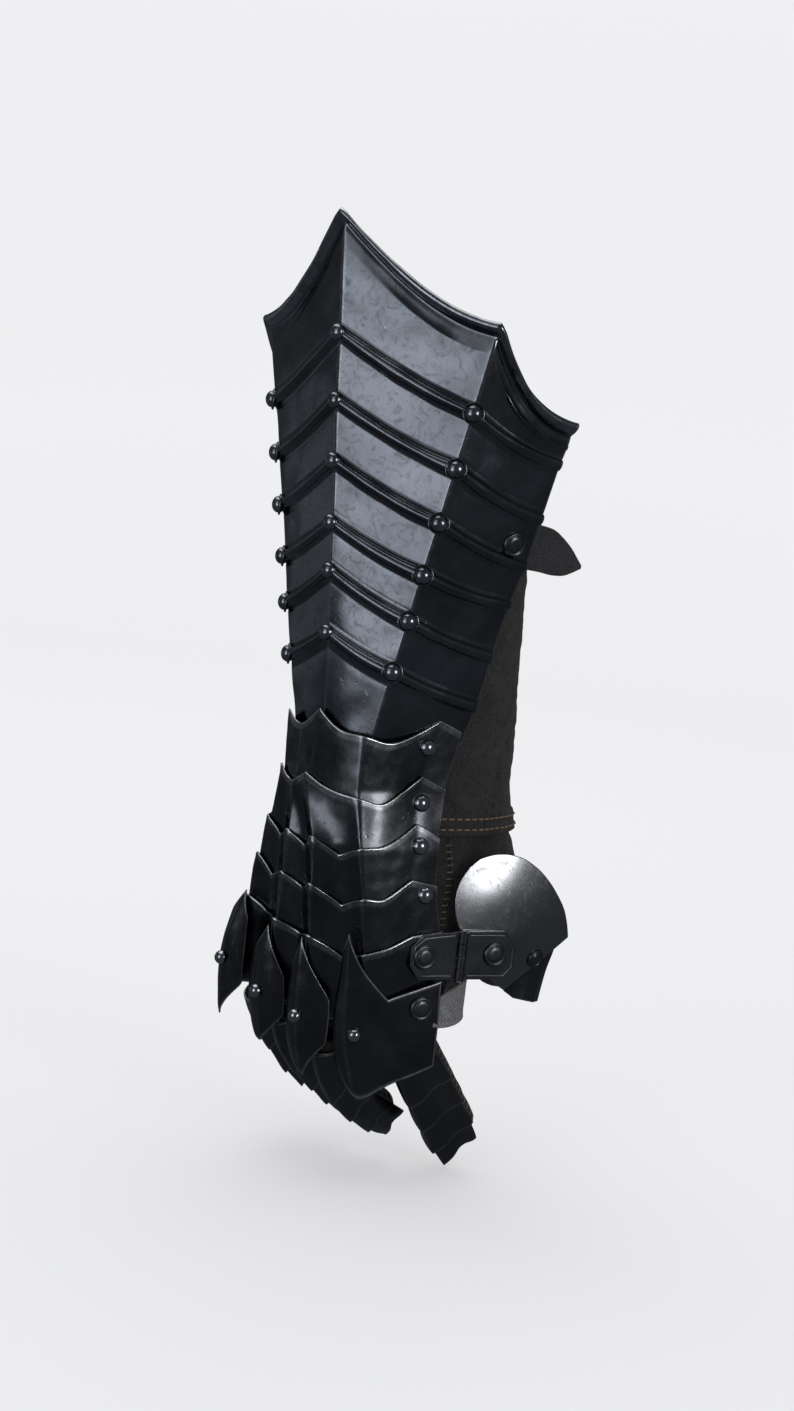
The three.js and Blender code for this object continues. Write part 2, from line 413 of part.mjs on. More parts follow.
const HANDSKIN = [
  [-50, -44.0, 21, -40.5, 35.5, -16, 44, 17, 35.6, 46.8, 60],
  [-66, -44.0, 23.5, -40.8, 38.5, -17, 47.5, 18, 41.4, 50.6, 63.5],
  [-76, -44.0, 24.5, -41.2, 40.5, -17.5, 50, 16, 43.2, 49.5, 61],
  [-86, -43.8, 25.5, -41.2, 42.2, -17, 51, 13, 41, 42, 53],
  [-100, -42.5, 27, -38.5, 43.5, -15, 50.5, 9, 37, 33, 41],
  [-120, -40.5, 28, -35.5, 43.5, -14, 47, 4, 33, 20, 25],
  [-136, -40.0, 28.5, -34, 42.3, -15, 45, -1, 31, 11, 15],
  [-146, -41.0, 28.5, -35.5, 42, -16, 44, -2, 31, 8, 11],
];
const HAND_SLANT = 0.1;       // the knuckle end of the glove body rises towards the little finger
function ring(r, n = 20) {    // closed smooth loop through the half section and its mirror, seen from above counter-clockwise
  const [f, ax_, ay, bx, by, cx, cy, dx, dy, b] = r;
  const half = [[ax_, ay], [bx, by], [cx, cy], [dx, dy]];
  const pts = [V(0, f, 0), ...half.map(([x, y]) => V(x, y, 0)), V(0, b, 0), ...half.slice().reverse().map(([x, y]) => V(-x, y, 0))];
  const c = new THREE.CatmullRomCurve3(pts, true, 'centripetal');
  return Array.from({ length: n }, (_, i) => c.getPointAt(i / n));
}
function tube(rows) {         // bottom row first
  return rows.slice().reverse().map(r => ring(r.slice(1)).map(p => p.clone().setZ(r[0])));
}
add('glove_sleeve', plate(tube(SLEEVE), LEATHER, true), 'leather');
const slanted = tube(HANDSKIN).map(row => row.map(p => p.setZ(p.z - HAND_SLANT * p.x * clamp((-120 - p.z) / 26, 0, 1))));
add('glove_hand', plate(slanted, LEATHER, true), 'leather');
function stall(f, s0, s1, steps) {
  const F = FINGERS[f], rows = [];
  for (let j = 0; j <= steps; j++) {
    const q = j / steps, s = lerp(s0, s1, q), { p, t, n } = fingerFrame(f, s);
    const k = q > 0.86 ? Math.sqrt(Math.max(0.12, 1 - ((q - 0.86) / 0.15) ** 2)) : 1;
    const w = (F.w - LAME_T - 0.6) * k, h = (F.h - LAME_T - 0.6) * k;
    rows.push(Array.from({ length: 10 }, (_, i) => {
      const a = -2 * Math.PI * i / 10;   // runs so that the outside faces out when rows go down the finger
      return p.clone().add(V(w * Math.sin(a), 0, 0)).addScaledVector(n, h * Math.cos(a) * (Math.cos(a) < 0 ? 0.92 : 1));
    }));
  }
  return sack(rows, LEATHER);
}
const STALL_START = { index: 0.345, middle: 0.23, ring: 0.23, little: 0.33 };  // just below the glove body
for (const f of Object.keys(FINGERS)) add(`glove_finger_${f}`, stall(f, STALL_START[f], f === 'index' ? 1.0 : 0.98, 7), 'leather');
{
  const c = new THREE.CatmullRomCurve3([V(50.6, 34, -101), V(48.8, 37, -109), V(46.5, 39.5, -118), V(43.9, 41.5, -127.5)], false, 'centripetal');
  const rows = [];
  for (let j = 0; j <= 5; j++) {
    const q = j / 5, p = c.getPointAt(q), t = c.getTangentAt(q), e = V(0, 0, 1).cross(t).normalize(), n = t.clone().cross(e);
    const k = (q > 0.8 ? Math.sqrt(Math.max(0.15, 1 - ((q - 0.8) / 0.21) ** 2)) : 1) * 8.8;
    rows.push(Array.from({ length: 10 }, (_, i) => { const a = -2 * Math.PI * i / 10; return p.clone().addScaledVector(e, k * Math.cos(a)).addScaledVector(n, k * Math.sin(a)); }));
  }
  add('glove_thumb', sack(rows, LEATHER), 'leather');
}

// ---------------------------------------------------------------- straps
function band(path, t) {      // path rows [x, y, z centre, half width]
  const grid = [-1, 1].map(s => path.map(([x, y, z, h]) => V(x, y, z + s * h)));
  return plate(grid, t);
}
const TONGUE = [[54.9, -12, 82.5, 10], [57.2, -4, 82.5, 10], [60.0, 5, 82.3, 10], [64, 14, 81.6, 10], [66.6, 21, 80.2, 9.6], [69.2, 28.3, 77.6, 6.5], [71.4, 35.4, 75.2, 1.0]];
add('cuff_strap_right', band(TONGUE, 2.0), 'strap');
const BUCKLE_END = [[-61.6, 9.5, 82, 10], [-60.0, 5, 82.3, 10], [-57.2, -4, 82.5, 10], [-54.9, -12, 82.5, 10]];
add('cuff_strap_left', band(BUCKLE_END, 2.0), 'strap');
{
  const outer = new THREE.Shape([[0, -13], [17, -13], [17, 13], [0, 13]].map(a => new THREE.Vector2(...a)));
  outer.holes.push(new THREE.Path([[2.6, -10.4], [14.4, -10.4], [14.4, 10.4], [2.6, 10.4]].map(a => new THREE.Vector2(...a))));
  const g = new THREE.ExtrudeGeometry(outer, { depth: 2.4, bevelEnabled: false });
  const d = V(-0.28, 0.96, 0).normalize(), n = V(-0.96, -0.28, 0);
  g.applyMatrix4(new THREE.Matrix4().makeBasis(d, V(0, 0, 1), d.clone().cross(V(0, 0, 1))).setPosition(V(-60.8, 10.2, 82)));
  add('cuff_buckle', g, 'rivet');
}
const PALM = [[-50.2, -11, -125, 9.5], [-54.6, -2, -127, 9.5], [-54.5, 8, -128, 9.5], [-47, 19, -129.5, 9.5], [-30, 29, -130.5, 9.5], [-10, 34, -131, 9.5], [10, 34, -131, 9.5], [30, 27, -131, 9.5], [45, 16, -131, 9.5], [53.6, 4, -131.5, 9.5], [54.2, -4, -133.5, 9], [52.0, -12.5, -137, 8.4]];
add('palm_strap', band(PALM.slice().reverse(), 1.8), 'strap');

// ---------------------------------------------------------------- rivets
const SIDE_RIVETS = [[0, 10.9, -13.8], [1, 11.19, -39.1], [2, 11.14, -58], [3, 11.57, -80.3]];
for (const [i, u, z] of SIDE_RIVETS) for (const [side, uu] of [['thumb', u], ['little', 12 - u]]) {
  const zt = at(TOPS[lameNames[i]], uu), zb = at(TOPS[lameNames[i + 1]], uu) - OVERLAP;
  const { p, n } = lameAt(i, uu, (z - zt) / (zb - zt));
  add(`rivet_lame_${i + 1}_${side}`, dome(DOME_R, 2.9, p, n), 'rivet');
}
for (const [k, u, z] of [['knuckle_index', 2.75, -145.5], ['knuckle_middle', 2, -140.5], ['knuckle_ring', 2, -135.6], ['knuckle_little', 2, -126.1]]) {
  const { p, n } = knuckleAt(k, u, z);
  add(`rivet_${k}`, dome(DOME_R, 2.9, p, n, 0.5), 'rivet');
}
for (const s of [-1, 1]) {
  const side = (f, z) => { const [cx, cy, ry, ex, ey] = table(CUFF, z); return V(s * lerp(cx, ex, f), lerp(cy, ey, f), z); };
  const n = side(0.9, 82).sub(side(0.8, 82)).cross(side(0.845, 87).sub(side(0.845, 77))).multiplyScalar(s).normalize();
  add(`flat_rivet_cuff_${s > 0 ? 'right' : 'left'}`, disc(FLAT_R, 1.6, side(0.80, 82.8), n, 0.7), 'rivet');
}
add('flat_rivet_hand_leaf', disc(FLAT_R, 1.6, hinge(-18.7, -108.0, LEAF_OUT), EN), 'rivet');
add('flat_rivet_thumb_leaf', disc(FLAT_R, 1.6, hinge(17.4, -106.8, LEAF_OUT), EN), 'rivet', thumbGuard);
{
  const W = 24.8, P = 0.7, p = discPoint(W, P);
  const n = discPoint(W - 0.5, P).sub(discPoint(W + 0.5, P)).cross(discPoint(W, P + 1.5).sub(discPoint(W, P - 1.5))).normalize();
  if (n.dot(EN) < 0) n.negate();
  add('flat_rivet_disc', disc(FLAT_R * 0.82, 1.5, p, n, 0.5), 'rivet', thumbGuard);
}
{
  const { p, n } = knuckleAt('knuckle_index', 6.25, -132.5);
  add('flat_rivet_wing', disc(FLAT_R, 1.6, p, n, 0.5), 'rivet');
}
export default gauntlet;
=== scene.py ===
import bpy, math
import numpy as np
from mathutils import Vector, Matrix, Quaternion


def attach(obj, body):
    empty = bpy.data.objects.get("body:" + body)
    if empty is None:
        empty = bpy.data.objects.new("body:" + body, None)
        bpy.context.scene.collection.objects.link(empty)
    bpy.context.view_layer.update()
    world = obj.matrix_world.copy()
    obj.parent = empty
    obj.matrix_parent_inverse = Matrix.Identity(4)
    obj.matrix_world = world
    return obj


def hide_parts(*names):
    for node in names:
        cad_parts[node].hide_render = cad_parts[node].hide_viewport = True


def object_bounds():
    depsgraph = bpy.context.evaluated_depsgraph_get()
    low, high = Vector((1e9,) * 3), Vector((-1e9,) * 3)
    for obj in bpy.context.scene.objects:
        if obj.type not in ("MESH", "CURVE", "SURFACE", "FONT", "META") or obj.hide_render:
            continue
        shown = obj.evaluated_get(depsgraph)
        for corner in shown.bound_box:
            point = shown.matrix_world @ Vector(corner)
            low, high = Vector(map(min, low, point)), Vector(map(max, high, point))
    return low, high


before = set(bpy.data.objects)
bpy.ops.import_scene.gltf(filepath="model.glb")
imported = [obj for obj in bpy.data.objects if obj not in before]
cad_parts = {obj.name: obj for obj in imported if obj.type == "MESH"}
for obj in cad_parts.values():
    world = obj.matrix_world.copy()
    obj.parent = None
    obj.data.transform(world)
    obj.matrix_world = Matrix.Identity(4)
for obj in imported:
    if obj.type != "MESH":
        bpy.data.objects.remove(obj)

CAD_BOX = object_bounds()
ROOT, GUARD = "glove_and_plates", "thumb_guard"
rng = np.random.default_rng(7)

# ---------------------------------------------------------------- numeric helpers (millimetres until a mesh is made)
def tangents(x, y):
    h = np.diff(x)
    s = np.diff(y, axis=0) / h.reshape(-1, *([1] * (y.ndim - 1)))
    m = np.empty_like(y)
    if len(x) == 2:
        m[0] = m[1] = s[0]
        return m
    H = h.reshape(-1, *([1] * (y.ndim - 1)))
    m[1:-1] = (s[1:] * H[:-1] + s[:-1] * H[1:]) / (H[:-1] + H[1:])
    m[0] = s[0] * 1.5 - m[1] * 0.5
    m[-1] = s[-1] * 1.5 - m[-2] * 0.5
    return m

def spline(x, y, q, corners=()):
    """Smooth curve through (x, y), broken at the listed indices."""
    x, y, q = np.asarray(x, float), np.asarray(y, float), np.asarray(q, float)
    out = np.zeros(q.shape + y.shape[1:])
    cuts = [0] + [c for c in corners if 0 < c < len(x) - 1] + [len(x) - 1]
    for a, b in zip(cuts[:-1], cuts[1:]):
        X, Y = x[a:b + 1], y[a:b + 1]
        m = tangents(X, Y)
        sel = (q >= X[0] if a else q > -1e18) & (q < X[-1] if b < len(x) - 1 else q < 1e18)
        if not sel.any():
            continue
        t = np.clip(q[sel], X[0], X[-1])
        i = np.clip(np.searchsorted(X, t, side="right") - 1, 0, len(X) - 2)
        h = X[i + 1] - X[i]
        f = (t - X[i]) / h
        e = lambda v: v.reshape(v.shape + (1,) * (y.ndim - 1))
        f_, h_ = e(f), e(h)
        out[sel] = ((2 * f_**3 - 3 * f_**2 + 1) * Y[i] + (f_**3 - 2 * f_**2 + f_) * h_ * m[i]
                    + (-2 * f_**3 + 3 * f_**2) * Y[i + 1] + (f_**3 - f_**2) * h_ * m[i + 1])
    return out

def table(rows, z, smooth=True):
    r = np.array(sorted(rows, key=lambda a: a[0]), float)
    z = np.clip(np.asarray(z, float), r[0, 0], r[-1, 0])
    return spline(r[:, 0], r[:, 1:], z) if smooth else np.stack([np.interp(z, r[:, 0], r[:, k]) for k in range(1, r.shape[1])], -1)

def weights(n, u, corners, soft=0.06):
    """Weights of n column lines at positions u, with creases at the corners rounded over +-soft."""
    W = 0
    offs = np.linspace(-1, 1, 7) * soft
    for d in offs:
        W = W + spline(np.arange(n), np.eye(n), np.clip(u + d, 0, n - 1), corners)
    return W / len(offs)

def unit(v):
    return v / np.maximum(np.linalg.norm(v, axis=-1, keepdims=True), 1e-9)

def normals(g, wrap=False):
    if wrap:
        du = np.roll(g, -1, 1) - np.roll(g, 1, 1)
    else:
        du = np.empty_like(g)
        du[:, 1:-1] = g[:, 2:] - g[:, :-2]; du[:, 0] = g[:, 1] - g[:, 0]; du[:, -1] = g[:, -1] - g[:, -2]
    dv = np.empty_like(g)
    dv[1:-1] = g[2:] - g[:-2]; dv[0] = g[1] - g[0]; dv[-1] = g[-1] - g[-2]
    return unit(np.cross(du, dv))

_k = rng.normal(size=(60, 3)); _ph = rng.uniform(0, 6.283, 60)
def wobble(p, size, lo=0, n=14):
    """Smooth repeatable noise of about unit height; size is the length of its bumps in mm."""
    k = unit(_k[lo:lo + n]) * (2 * math.pi / size) * (0.7 + 0.6 * np.linspace(0, 1, n))[:, None]
    return np.sin(p @ k.T + _ph[lo:lo + n]).sum(-1) / math.sqrt(n) * 1.1

# ---------------------------------------------------------------- mesh helpers
def make(name, verts, faces, mats, body, replaces=(), mat_index=None, wear_and_highlight=None, smooth=True, sharp=None):
    """verts in mm; faces a list of (n,3) or (n,4) index arrays."""
    me = bpy.data.meshes.new(name)
    verts = np.asarray(verts, np.float64) / 1000.0
    me.vertices.add(len(verts)); me.vertices.foreach_set("co", verts.astype(np.float32).ravel())
    loops = np.concatenate([f.ravel() for f in faces]).astype(np.int32)
    size = np.concatenate([np.full(len(f), f.shape[1]) for f in faces])
    start = np.concatenate([[0], np.cumsum(size)[:-1]]).astype(np.int32)
    me.loops.add(len(loops)); me.loops.foreach_set("vertex_index", loops)
    me.polygons.add(len(size)); me.polygons.foreach_set("loop_start", start)
    me.update(calc_edges=True)
    for m in mats:
        me.materials.append(m)
    if mat_index is not None:
        me.polygons.foreach_set("material_index", np.asarray(mat_index, np.int32))
    me.polygons.foreach_set("use_smooth", np.full(len(size), bool(smooth)))
    if sharp is not None:
        me.set_sharp_from_angle(angle=math.radians(sharp))
    # per-vertex lightening read by the steel shaders: painted highlight on ridges, rims and edges, with some rubbed
    # wear
    a = me.attributes.new("wear_and_highlight", "FLOAT", "POINT")
    a.data.foreach_set("value", np.asarray(wear_and_highlight if wear_and_highlight is not None else np.zeros(len(verts)), np.float32))
    me.validate(verbose=False)
    ob = bpy.data.objects.new(name, me)
    bpy.context.scene.collection.objects.link(ob)
    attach(ob, body)
    if replaces:
        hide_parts(*replaces)
    return ob

def shell(grid, t, wrap=False, rim=0.42, edge=1):
    """Closed thin sheet from a grid of points (rows x columns); returns verts, faces, material index."""
    g = np.asarray(grid, float)
    n, m = g.shape[:2]
    N = normals(g, wrap)
    inner = g - N * t
    idx = np.arange(n * m).reshape(n, m)
    c = np.arange(m if wrap else m - 1); c1 = (c + 1) % m
    r = np.arange(n - 1)
    O = np.stack([idx[r][:, c], idx[r][:, c1], idx[r + 1][:, c1], idx[r + 1][:, c]], -1)
    V = [g.reshape(-1, 3), inner.reshape(-1, 3)]
    F = [O.reshape(-1, 4), (O + n * m)[..., ::-1].reshape(-1, 4)]
    # material 1 on the thin edge strips and rims is a lighter edge steel: painted edge highlight
    mi = np.zeros(O.shape[:2], int)
    if edge:
        mi[:edge] = 1; mi[-edge:] = 1
        if not wrap:
            mi[:, :edge] = 1; mi[:, -edge:] = 1
    M = [mi.ravel(), mi.ravel()]
    # boundary loop(s)
    def loop_of(ids, nxt):
        base = sum(len(v) for v in V)
        a, b = ids, ids + n * m
        P, Q = g.reshape(-1, 3)[a], inner.reshape(-1, 3)[a]
        e = unit(P - g.reshape(-1, 3)[nxt])
        V.append((P + Q) / 2 + e * t * rim)
        k = np.arange(len(ids)); k1 = (k + 1) % len(ids)
        F.append(np.stack([a[k1], a[k], base + k, base + k1], -1))
        F.append(np.stack([base + k1, base + k, b[k], b[k1]], -1))
        M.append(np.ones(2 * len(ids), int))
    if wrap:
        loop_of(idx[0], idx[1])
        loop_of(idx[-1][::-1], idx[-2][::-1])
    else:
        ids = np.concatenate([idx[0, :-1], idx[:-1, -1], idx[-1, ::-1][:-1], idx[::-1, 0][:-1]])
        nx = np.concatenate([idx[1, :-1], idx[:-1, -2], idx[-2, ::-1][:-1], idx[::-1, 1][:-1]])
        nx[0] = idx[1, 1]; nx[m - 1] = idx[1, -2]; nx[m + n - 2] = idx[-2, -2]; nx[2 * m + n - 3] = idx[-2, 1]
        loop_of(ids, nx)
    V = np.concatenate(V)
    return V, F, np.concatenate(M)

def join(parts):
    """parts: (verts, faces, mat index) -> one."""
    V, F, M, o = [], [], [], 0
    quads, tris, mq, mt = [], [], [], []
    for v, f, m in parts:
        V.append(v); k = 0
        for a in f:
            (quads if a.shape[1] == 4 else tris).append(a + o)
            (mq if a.shape[1] == 4 else mt).append(np.asarray(m[k:k + len(a)]) if hasattr(m, "__len__") else np.full(len(a), m))
            k += len(a)
        o += len(v)
    F = ([np.concatenate(quads)] if quads else []) + ([np.concatenate(tris)] if tris else [])
    return np.concatenate(V), F, np.concatenate(mq + mt)

def lathe(profile, n=40):
    """Closed solid round +Z from (r, z) points that start and end on the axis."""
    pr = np.array(profile, float)
    a = np.arange(n) * 2 * math.pi / n
    mid = pr[1:-1]
    V = np.concatenate([[[0, 0, pr[0][1]]], (np.stack([np.outer(mid[:, 0], np.cos(a)), np.outer(mid[:, 0], np.sin(a)), np.repeat(mid[:, 1:2], n, 1)], -1)).reshape(-1, 3), [[0, 0, pr[-1][1]]]])
    k = np.arange(n); k1 = (k + 1) % n
    T = [np.stack([np.zeros(n, int), 1 + k1, 1 + k], -1), np.stack([np.full(n, len(V) - 1), 1 + (len(mid) - 1) * n + k, 1 + (len(mid) - 1) * n + k1], -1)]
    Q = [np.stack([1 + j * n + k, 1 + j * n + k1, 1 + (j + 1) * n + k1, 1 + (j + 1) * n + k], -1) for j in range(len(mid) - 1)]
    return V, (Q + T if Q else T)

def turned(V, p, n, roll=0.0, x=None):
    """Moves a shape whose axis is +Z to p with its axis along n."""
    n = unit(np.asarray(n, float))
    x = np.asarray(x if x is not None else ([0, 0, 1] if abs(n[2]) < 0.9 else [1, 0, 0]), float)
    x = unit(x - n * (x @ n)); y = np.cross(n, x)
    return np.asarray(p) + V[:, :1] * x + V[:, 1:2] * y + V[:, 2:] * n

def ball(r, n=20, flat=1.0):
    pr = [(r * math.sin(a), -r * flat * math.cos(a)) for a in np.linspace(0, math.pi, n // 2 + 1)]
    pr[0] = (0, pr[0][1]); pr[-1] = (0, pr[-1][1])
    return lathe(pr, n)

def tube(path, r, n=8, closed=False):
    """Round tube along points (k,3) with radius r (number or array), capped."""
    P = np.asarray(path, float); k = len(P)
    t = np.empty_like(P); t[1:-1] = P[2:] - P[:-2]; t[0] = P[1] - P[0]; t[-1] = P[-1] - P[-2]
    if closed:
        t = np.roll(P, -1, 0) - np.roll(P, 1, 0)
    t = unit(t)
    ref = np.array([0.31, 0.17, 0.93])
    a = unit(np.cross(t, ref)); b = np.cross(t, a)
    ang = np.arange(n) * 2 * math.pi / n
    R = np.broadcast_to(np.asarray(r, float), (k,))[:, None, None]
    V = (P[:, None] + R * (np.cos(ang)[None, :, None] * a[:, None] + np.sin(ang)[None, :, None] * b[:, None])).reshape(-1, 3)
    c = np.arange(n); c1 = (c + 1) % n
    rows = np.arange(k if closed else k - 1)
    Q = np.concatenate([np.stack([j * n + c, j * n + c1, ((j + 1) % k) * n + c1, ((j + 1) % k) * n + c], -1) for j in rows])
    F = [Q]
    if not closed:
        V = np.concatenate([V, P[:1], P[-1:]])
        F.append(np.stack([np.full(n, k * n), c1, c], -1)); F.append(np.stack([np.full(n, k * n + 1), (k - 1) * n + c, (k - 1) * n + c1], -1))
    return V, F

def cad_axis(node):
    """Base centre and outward direction of a rivet head, from its CAD solid (in mm)."""
    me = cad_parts[node].data
    co = np.array([v.co for v in me.vertices]) * 1000
    groups = {}
    for p in me.polygons:
        k = tuple(np.round(np.array(p.normal), 1))
        g = groups.setdefault(k, [0.0, np.zeros(3), np.zeros(3)])
        g[0] += p.area; g[1] += np.array(p.center) * 1000 * p.area; g[2] += np.array(p.normal) * p.area
    a = sorted(groups.values(), key=lambda g: -g[0])[0]     # the base is the largest flat face
    n, c = -unit(a[2]), a[1] / a[0]
    return c, n if (co.mean(0) - c) @ n > 0 else -n

# ---------------------------------------------------------------- materials
def nt(name):
    m = bpy.data.materials.new(name); m.use_nodes = True
    t = m.node_tree; t.nodes.clear()
    out = t.nodes.new("ShaderNodeOutputMaterial"); b = t.nodes.new("ShaderNodeBsdfPrincipled")
    t.links.new(b.outputs[0], out.inputs[0])
    return m, t, b
def node(t, kind, **k):
    n = t.nodes.new(kind)
    for a, v in k.items():
        setattr(n, a, v)
    return n
def coords(t, scale=(1, 1, 1)):
    c = node(t, "ShaderNodeTexCoord"); mp = node(t, "ShaderNodeMapping")
    mp.inputs["Scale"].default_value = scale
    t.links.new(c.outputs["Object"], mp.inputs["Vector"])
    return mp.outputs["Vector"]
def noise(t, scale, detail=3, rough=0.5, stretch=(1, 1, 1), distort=0.0):
    n = node(t, "ShaderNodeTexNoise")
    n.inputs["Scale"].default_value = scale; n.inputs["Detail"].default_value = detail
    n.inputs["Roughness"].default_value = rough; n.inputs["Distortion"].default_value = distort
    t.links.new(coords(t, stretch), n.inputs["Vector"])
    return n.outputs["Fac"]
def ramp(t, src, stops, interp="LINEAR"):
    r = node(t, "ShaderNodeValToRGB"); r.color_ramp.interpolation = interp
    e = r.color_ramp.elements
    while len(e) < len(stops):
        e.new(0.5)
    for k, (p, c) in zip(e, stops):
        k.position = p; k.color = (c, c, c, 1) if isinstance(c, (int, float)) else (*c, 1)
    t.links.new(src, r.inputs["Fac"])
    return r.outputs["Color"]
def math_(t, op, a, b=None, clamp=False):
    m = node(t, "ShaderNodeMath", operation=op, use_clamp=clamp)
    for i, v in enumerate((a, b)):
        if v is None: continue
        if isinstance(v, (int, float)): m.inputs[i].default_value = v
        else: t.links.new(v, m.inputs[i])
    return m.outputs[0]
def mix(t, fac, a, b):
    m = node(t, "ShaderNodeMix", data_type="RGBA")
    for s_, v in ((0, fac), (6, a), (7, b)):
        if isinstance(v, (int, float)): m.inputs[s_].default_value = v
        elif isinstance(v, tuple): m.inputs[s_].default_value = (*v, 1)
        else: t.links.new(v, m.inputs[s_])
    return m.outputs[2]
def bump(t, chain, b):
    """chain: (height socket, strength, distance in metres)."""
    last = None
    for h, s_, d in chain:
        n = node(t, "ShaderNodeBump"); n.inputs["Strength"].default_value = s_; n.inputs["Distance"].default_value = d
        t.links.new(h, n.inputs["Height"])
        if last is not None: t.links.new(last, n.inputs["Normal"])
        last = n.outputs["Normal"]
    t.links.new(last, b.inputs["Normal"])
# reads the per-vertex lightening: painted highlight on ridges, rims and edges, with some rubbed wear
def wear_and_highlight_of(t):
    a = node(t, "ShaderNodeAttribute"); a.attribute_name = "wear_and_highlight"
    return a.outputs["Fac"]

def steel(name, dark, light, bright, rough, spread, brush=(1, 1, 0.12), pits=1.0, dents=1.0):
    m, t, b = nt(name)
    big = noise(t, 22, 4, 0.6, distort=0.6)                       # cloudy blackening
    fine = noise(t, 420, 3, 0.6, stretch=brush)                   # brushed lines
    swirl = noise(t, 130, 4, 0.65, distort=2.4)                   # rubbed swirls
    cloud = ramp(t, big, [(0.3, dark), (0.7, light)])
    smear = ramp(t, swirl, [(0.5, 0.0), (0.72, 1.0)])
    col = mix(t, math_(t, "MULTIPLY", smear, 0.35), cloud, tuple(0.55 * x for x in dark))
    scr = noise(t, 95, 6, 0.75, stretch=(1, 1.2, 0.35), distort=1.1)
    scratch = ramp(t, scr, [(0.655, 0.0), (0.68, 1.0)])
    # lightens the colour toward the bright colour where the per-vertex attribute is set: painted highlight on ridges,
    # rims and edges, with some rubbed wear
    w = math_(t, "MULTIPLY", wear_and_highlight_of(t), ramp(t, noise(t, 160, 4, 0.7), [(0.35, 0.25), (0.6, 1.0)]))
    col = mix(t, math_(t, "MULTIPLY", scratch, 0.28), col, bright)
    col = mix(t, math_(t, "MULTIPLY", w, 0.85, True), col, bright)
    t.links.new(col, b.inputs["Base Color"])
    b.inputs["Metallic"].default_value = 1.0
    r = math_(t, "ADD", rough - spread * 0.5, math_(t, "MULTIPLY", big, spread))
    r = math_(t, "ADD", r, math_(t, "MULTIPLY", smear, 0.10))
    r = math_(t, "ADD", r, math_(t, "MULTIPLY", fine, 0.05))
    t.links.new(r, b.inputs["Roughness"])
    v = node(t, "ShaderNodeTexVoronoi"); v.inputs["Scale"].default_value = 190
    t.links.new(coords(t), v.inputs["Vector"])
    pit = ramp(t, v.outputs["Distance"], [(0.0, 0.0), (0.16, 1.0)])
    pitmask = math_(t, "MAXIMUM", pit, ramp(t, noise(t, 60, 3, 0.6), [(0.50, 1.0), (0.60, 0.0)]))
    bump(t, [(noise(t, 38, 3, 0.5), 0.35 * dents, 0.0016), (noise(t, 140, 3, 0.6), 0.22 * dents, 0.0004),
             (pitmask, 0.35 * pits, 0.00022), (fine, 0.06, 0.0001), (scratch, 0.25, 0.00012)], b)
    return m

STEEL = steel("blackened_steel", (0.095, 0.101, 0.113), (0.185, 0.196, 0.217), (0.55, 0.57, 0.60), 0.18, 0.10, pits=0.6, dents=0.5)
LAME = steel("blackened_steel_lames", (0.07, 0.073, 0.079), (0.13, 0.135, 0.146), (0.42, 0.43, 0.45), 0.21, 0.12, pits=0.8, dents=0.55)
MATT = steel("blackened_steel_matt", (0.085, 0.087, 0.091), (0.14, 0.144, 0.151), (0.36, 0.37, 0.39), 0.28, 0.13, pits=0.6, dents=0.5)
# the two edge steels are much lighter than the plate steels and go on the thin edge strips and rims: painted edge
# highlight, with some bare-steel wear
BARE_EDGE_AND_HIGHLIGHT = steel("bare_edge_and_highlight_steel", (0.28, 0.287, 0.30), (0.45, 0.46, 0.475), (0.8, 0.82, 0.84), 0.22, 0.10, pits=0.3, dents=0.2)
DULL_EDGE = steel("worn_edge_and_highlight_steel", (0.20, 0.205, 0.215), (0.34, 0.35, 0.365), (0.6, 0.61, 0.63), 0.33, 0.12, pits=0.3, dents=0.2)
POLISH = steel("polished_rivet_steel", (0.30, 0.31, 0.33), (0.42, 0.43, 0.46), (0.8, 0.82, 0.84), 0.16, 0.08, pits=0.3, dents=0.3)
BRIGHT = steel("polished_disc_steel", (0.24, 0.243, 0.25), (0.33, 0.335, 0.345), (0.7, 0.71, 0.73), 0.20, 0.06, brush=(0.15, 1, 1), pits=0.0, dents=0.03)

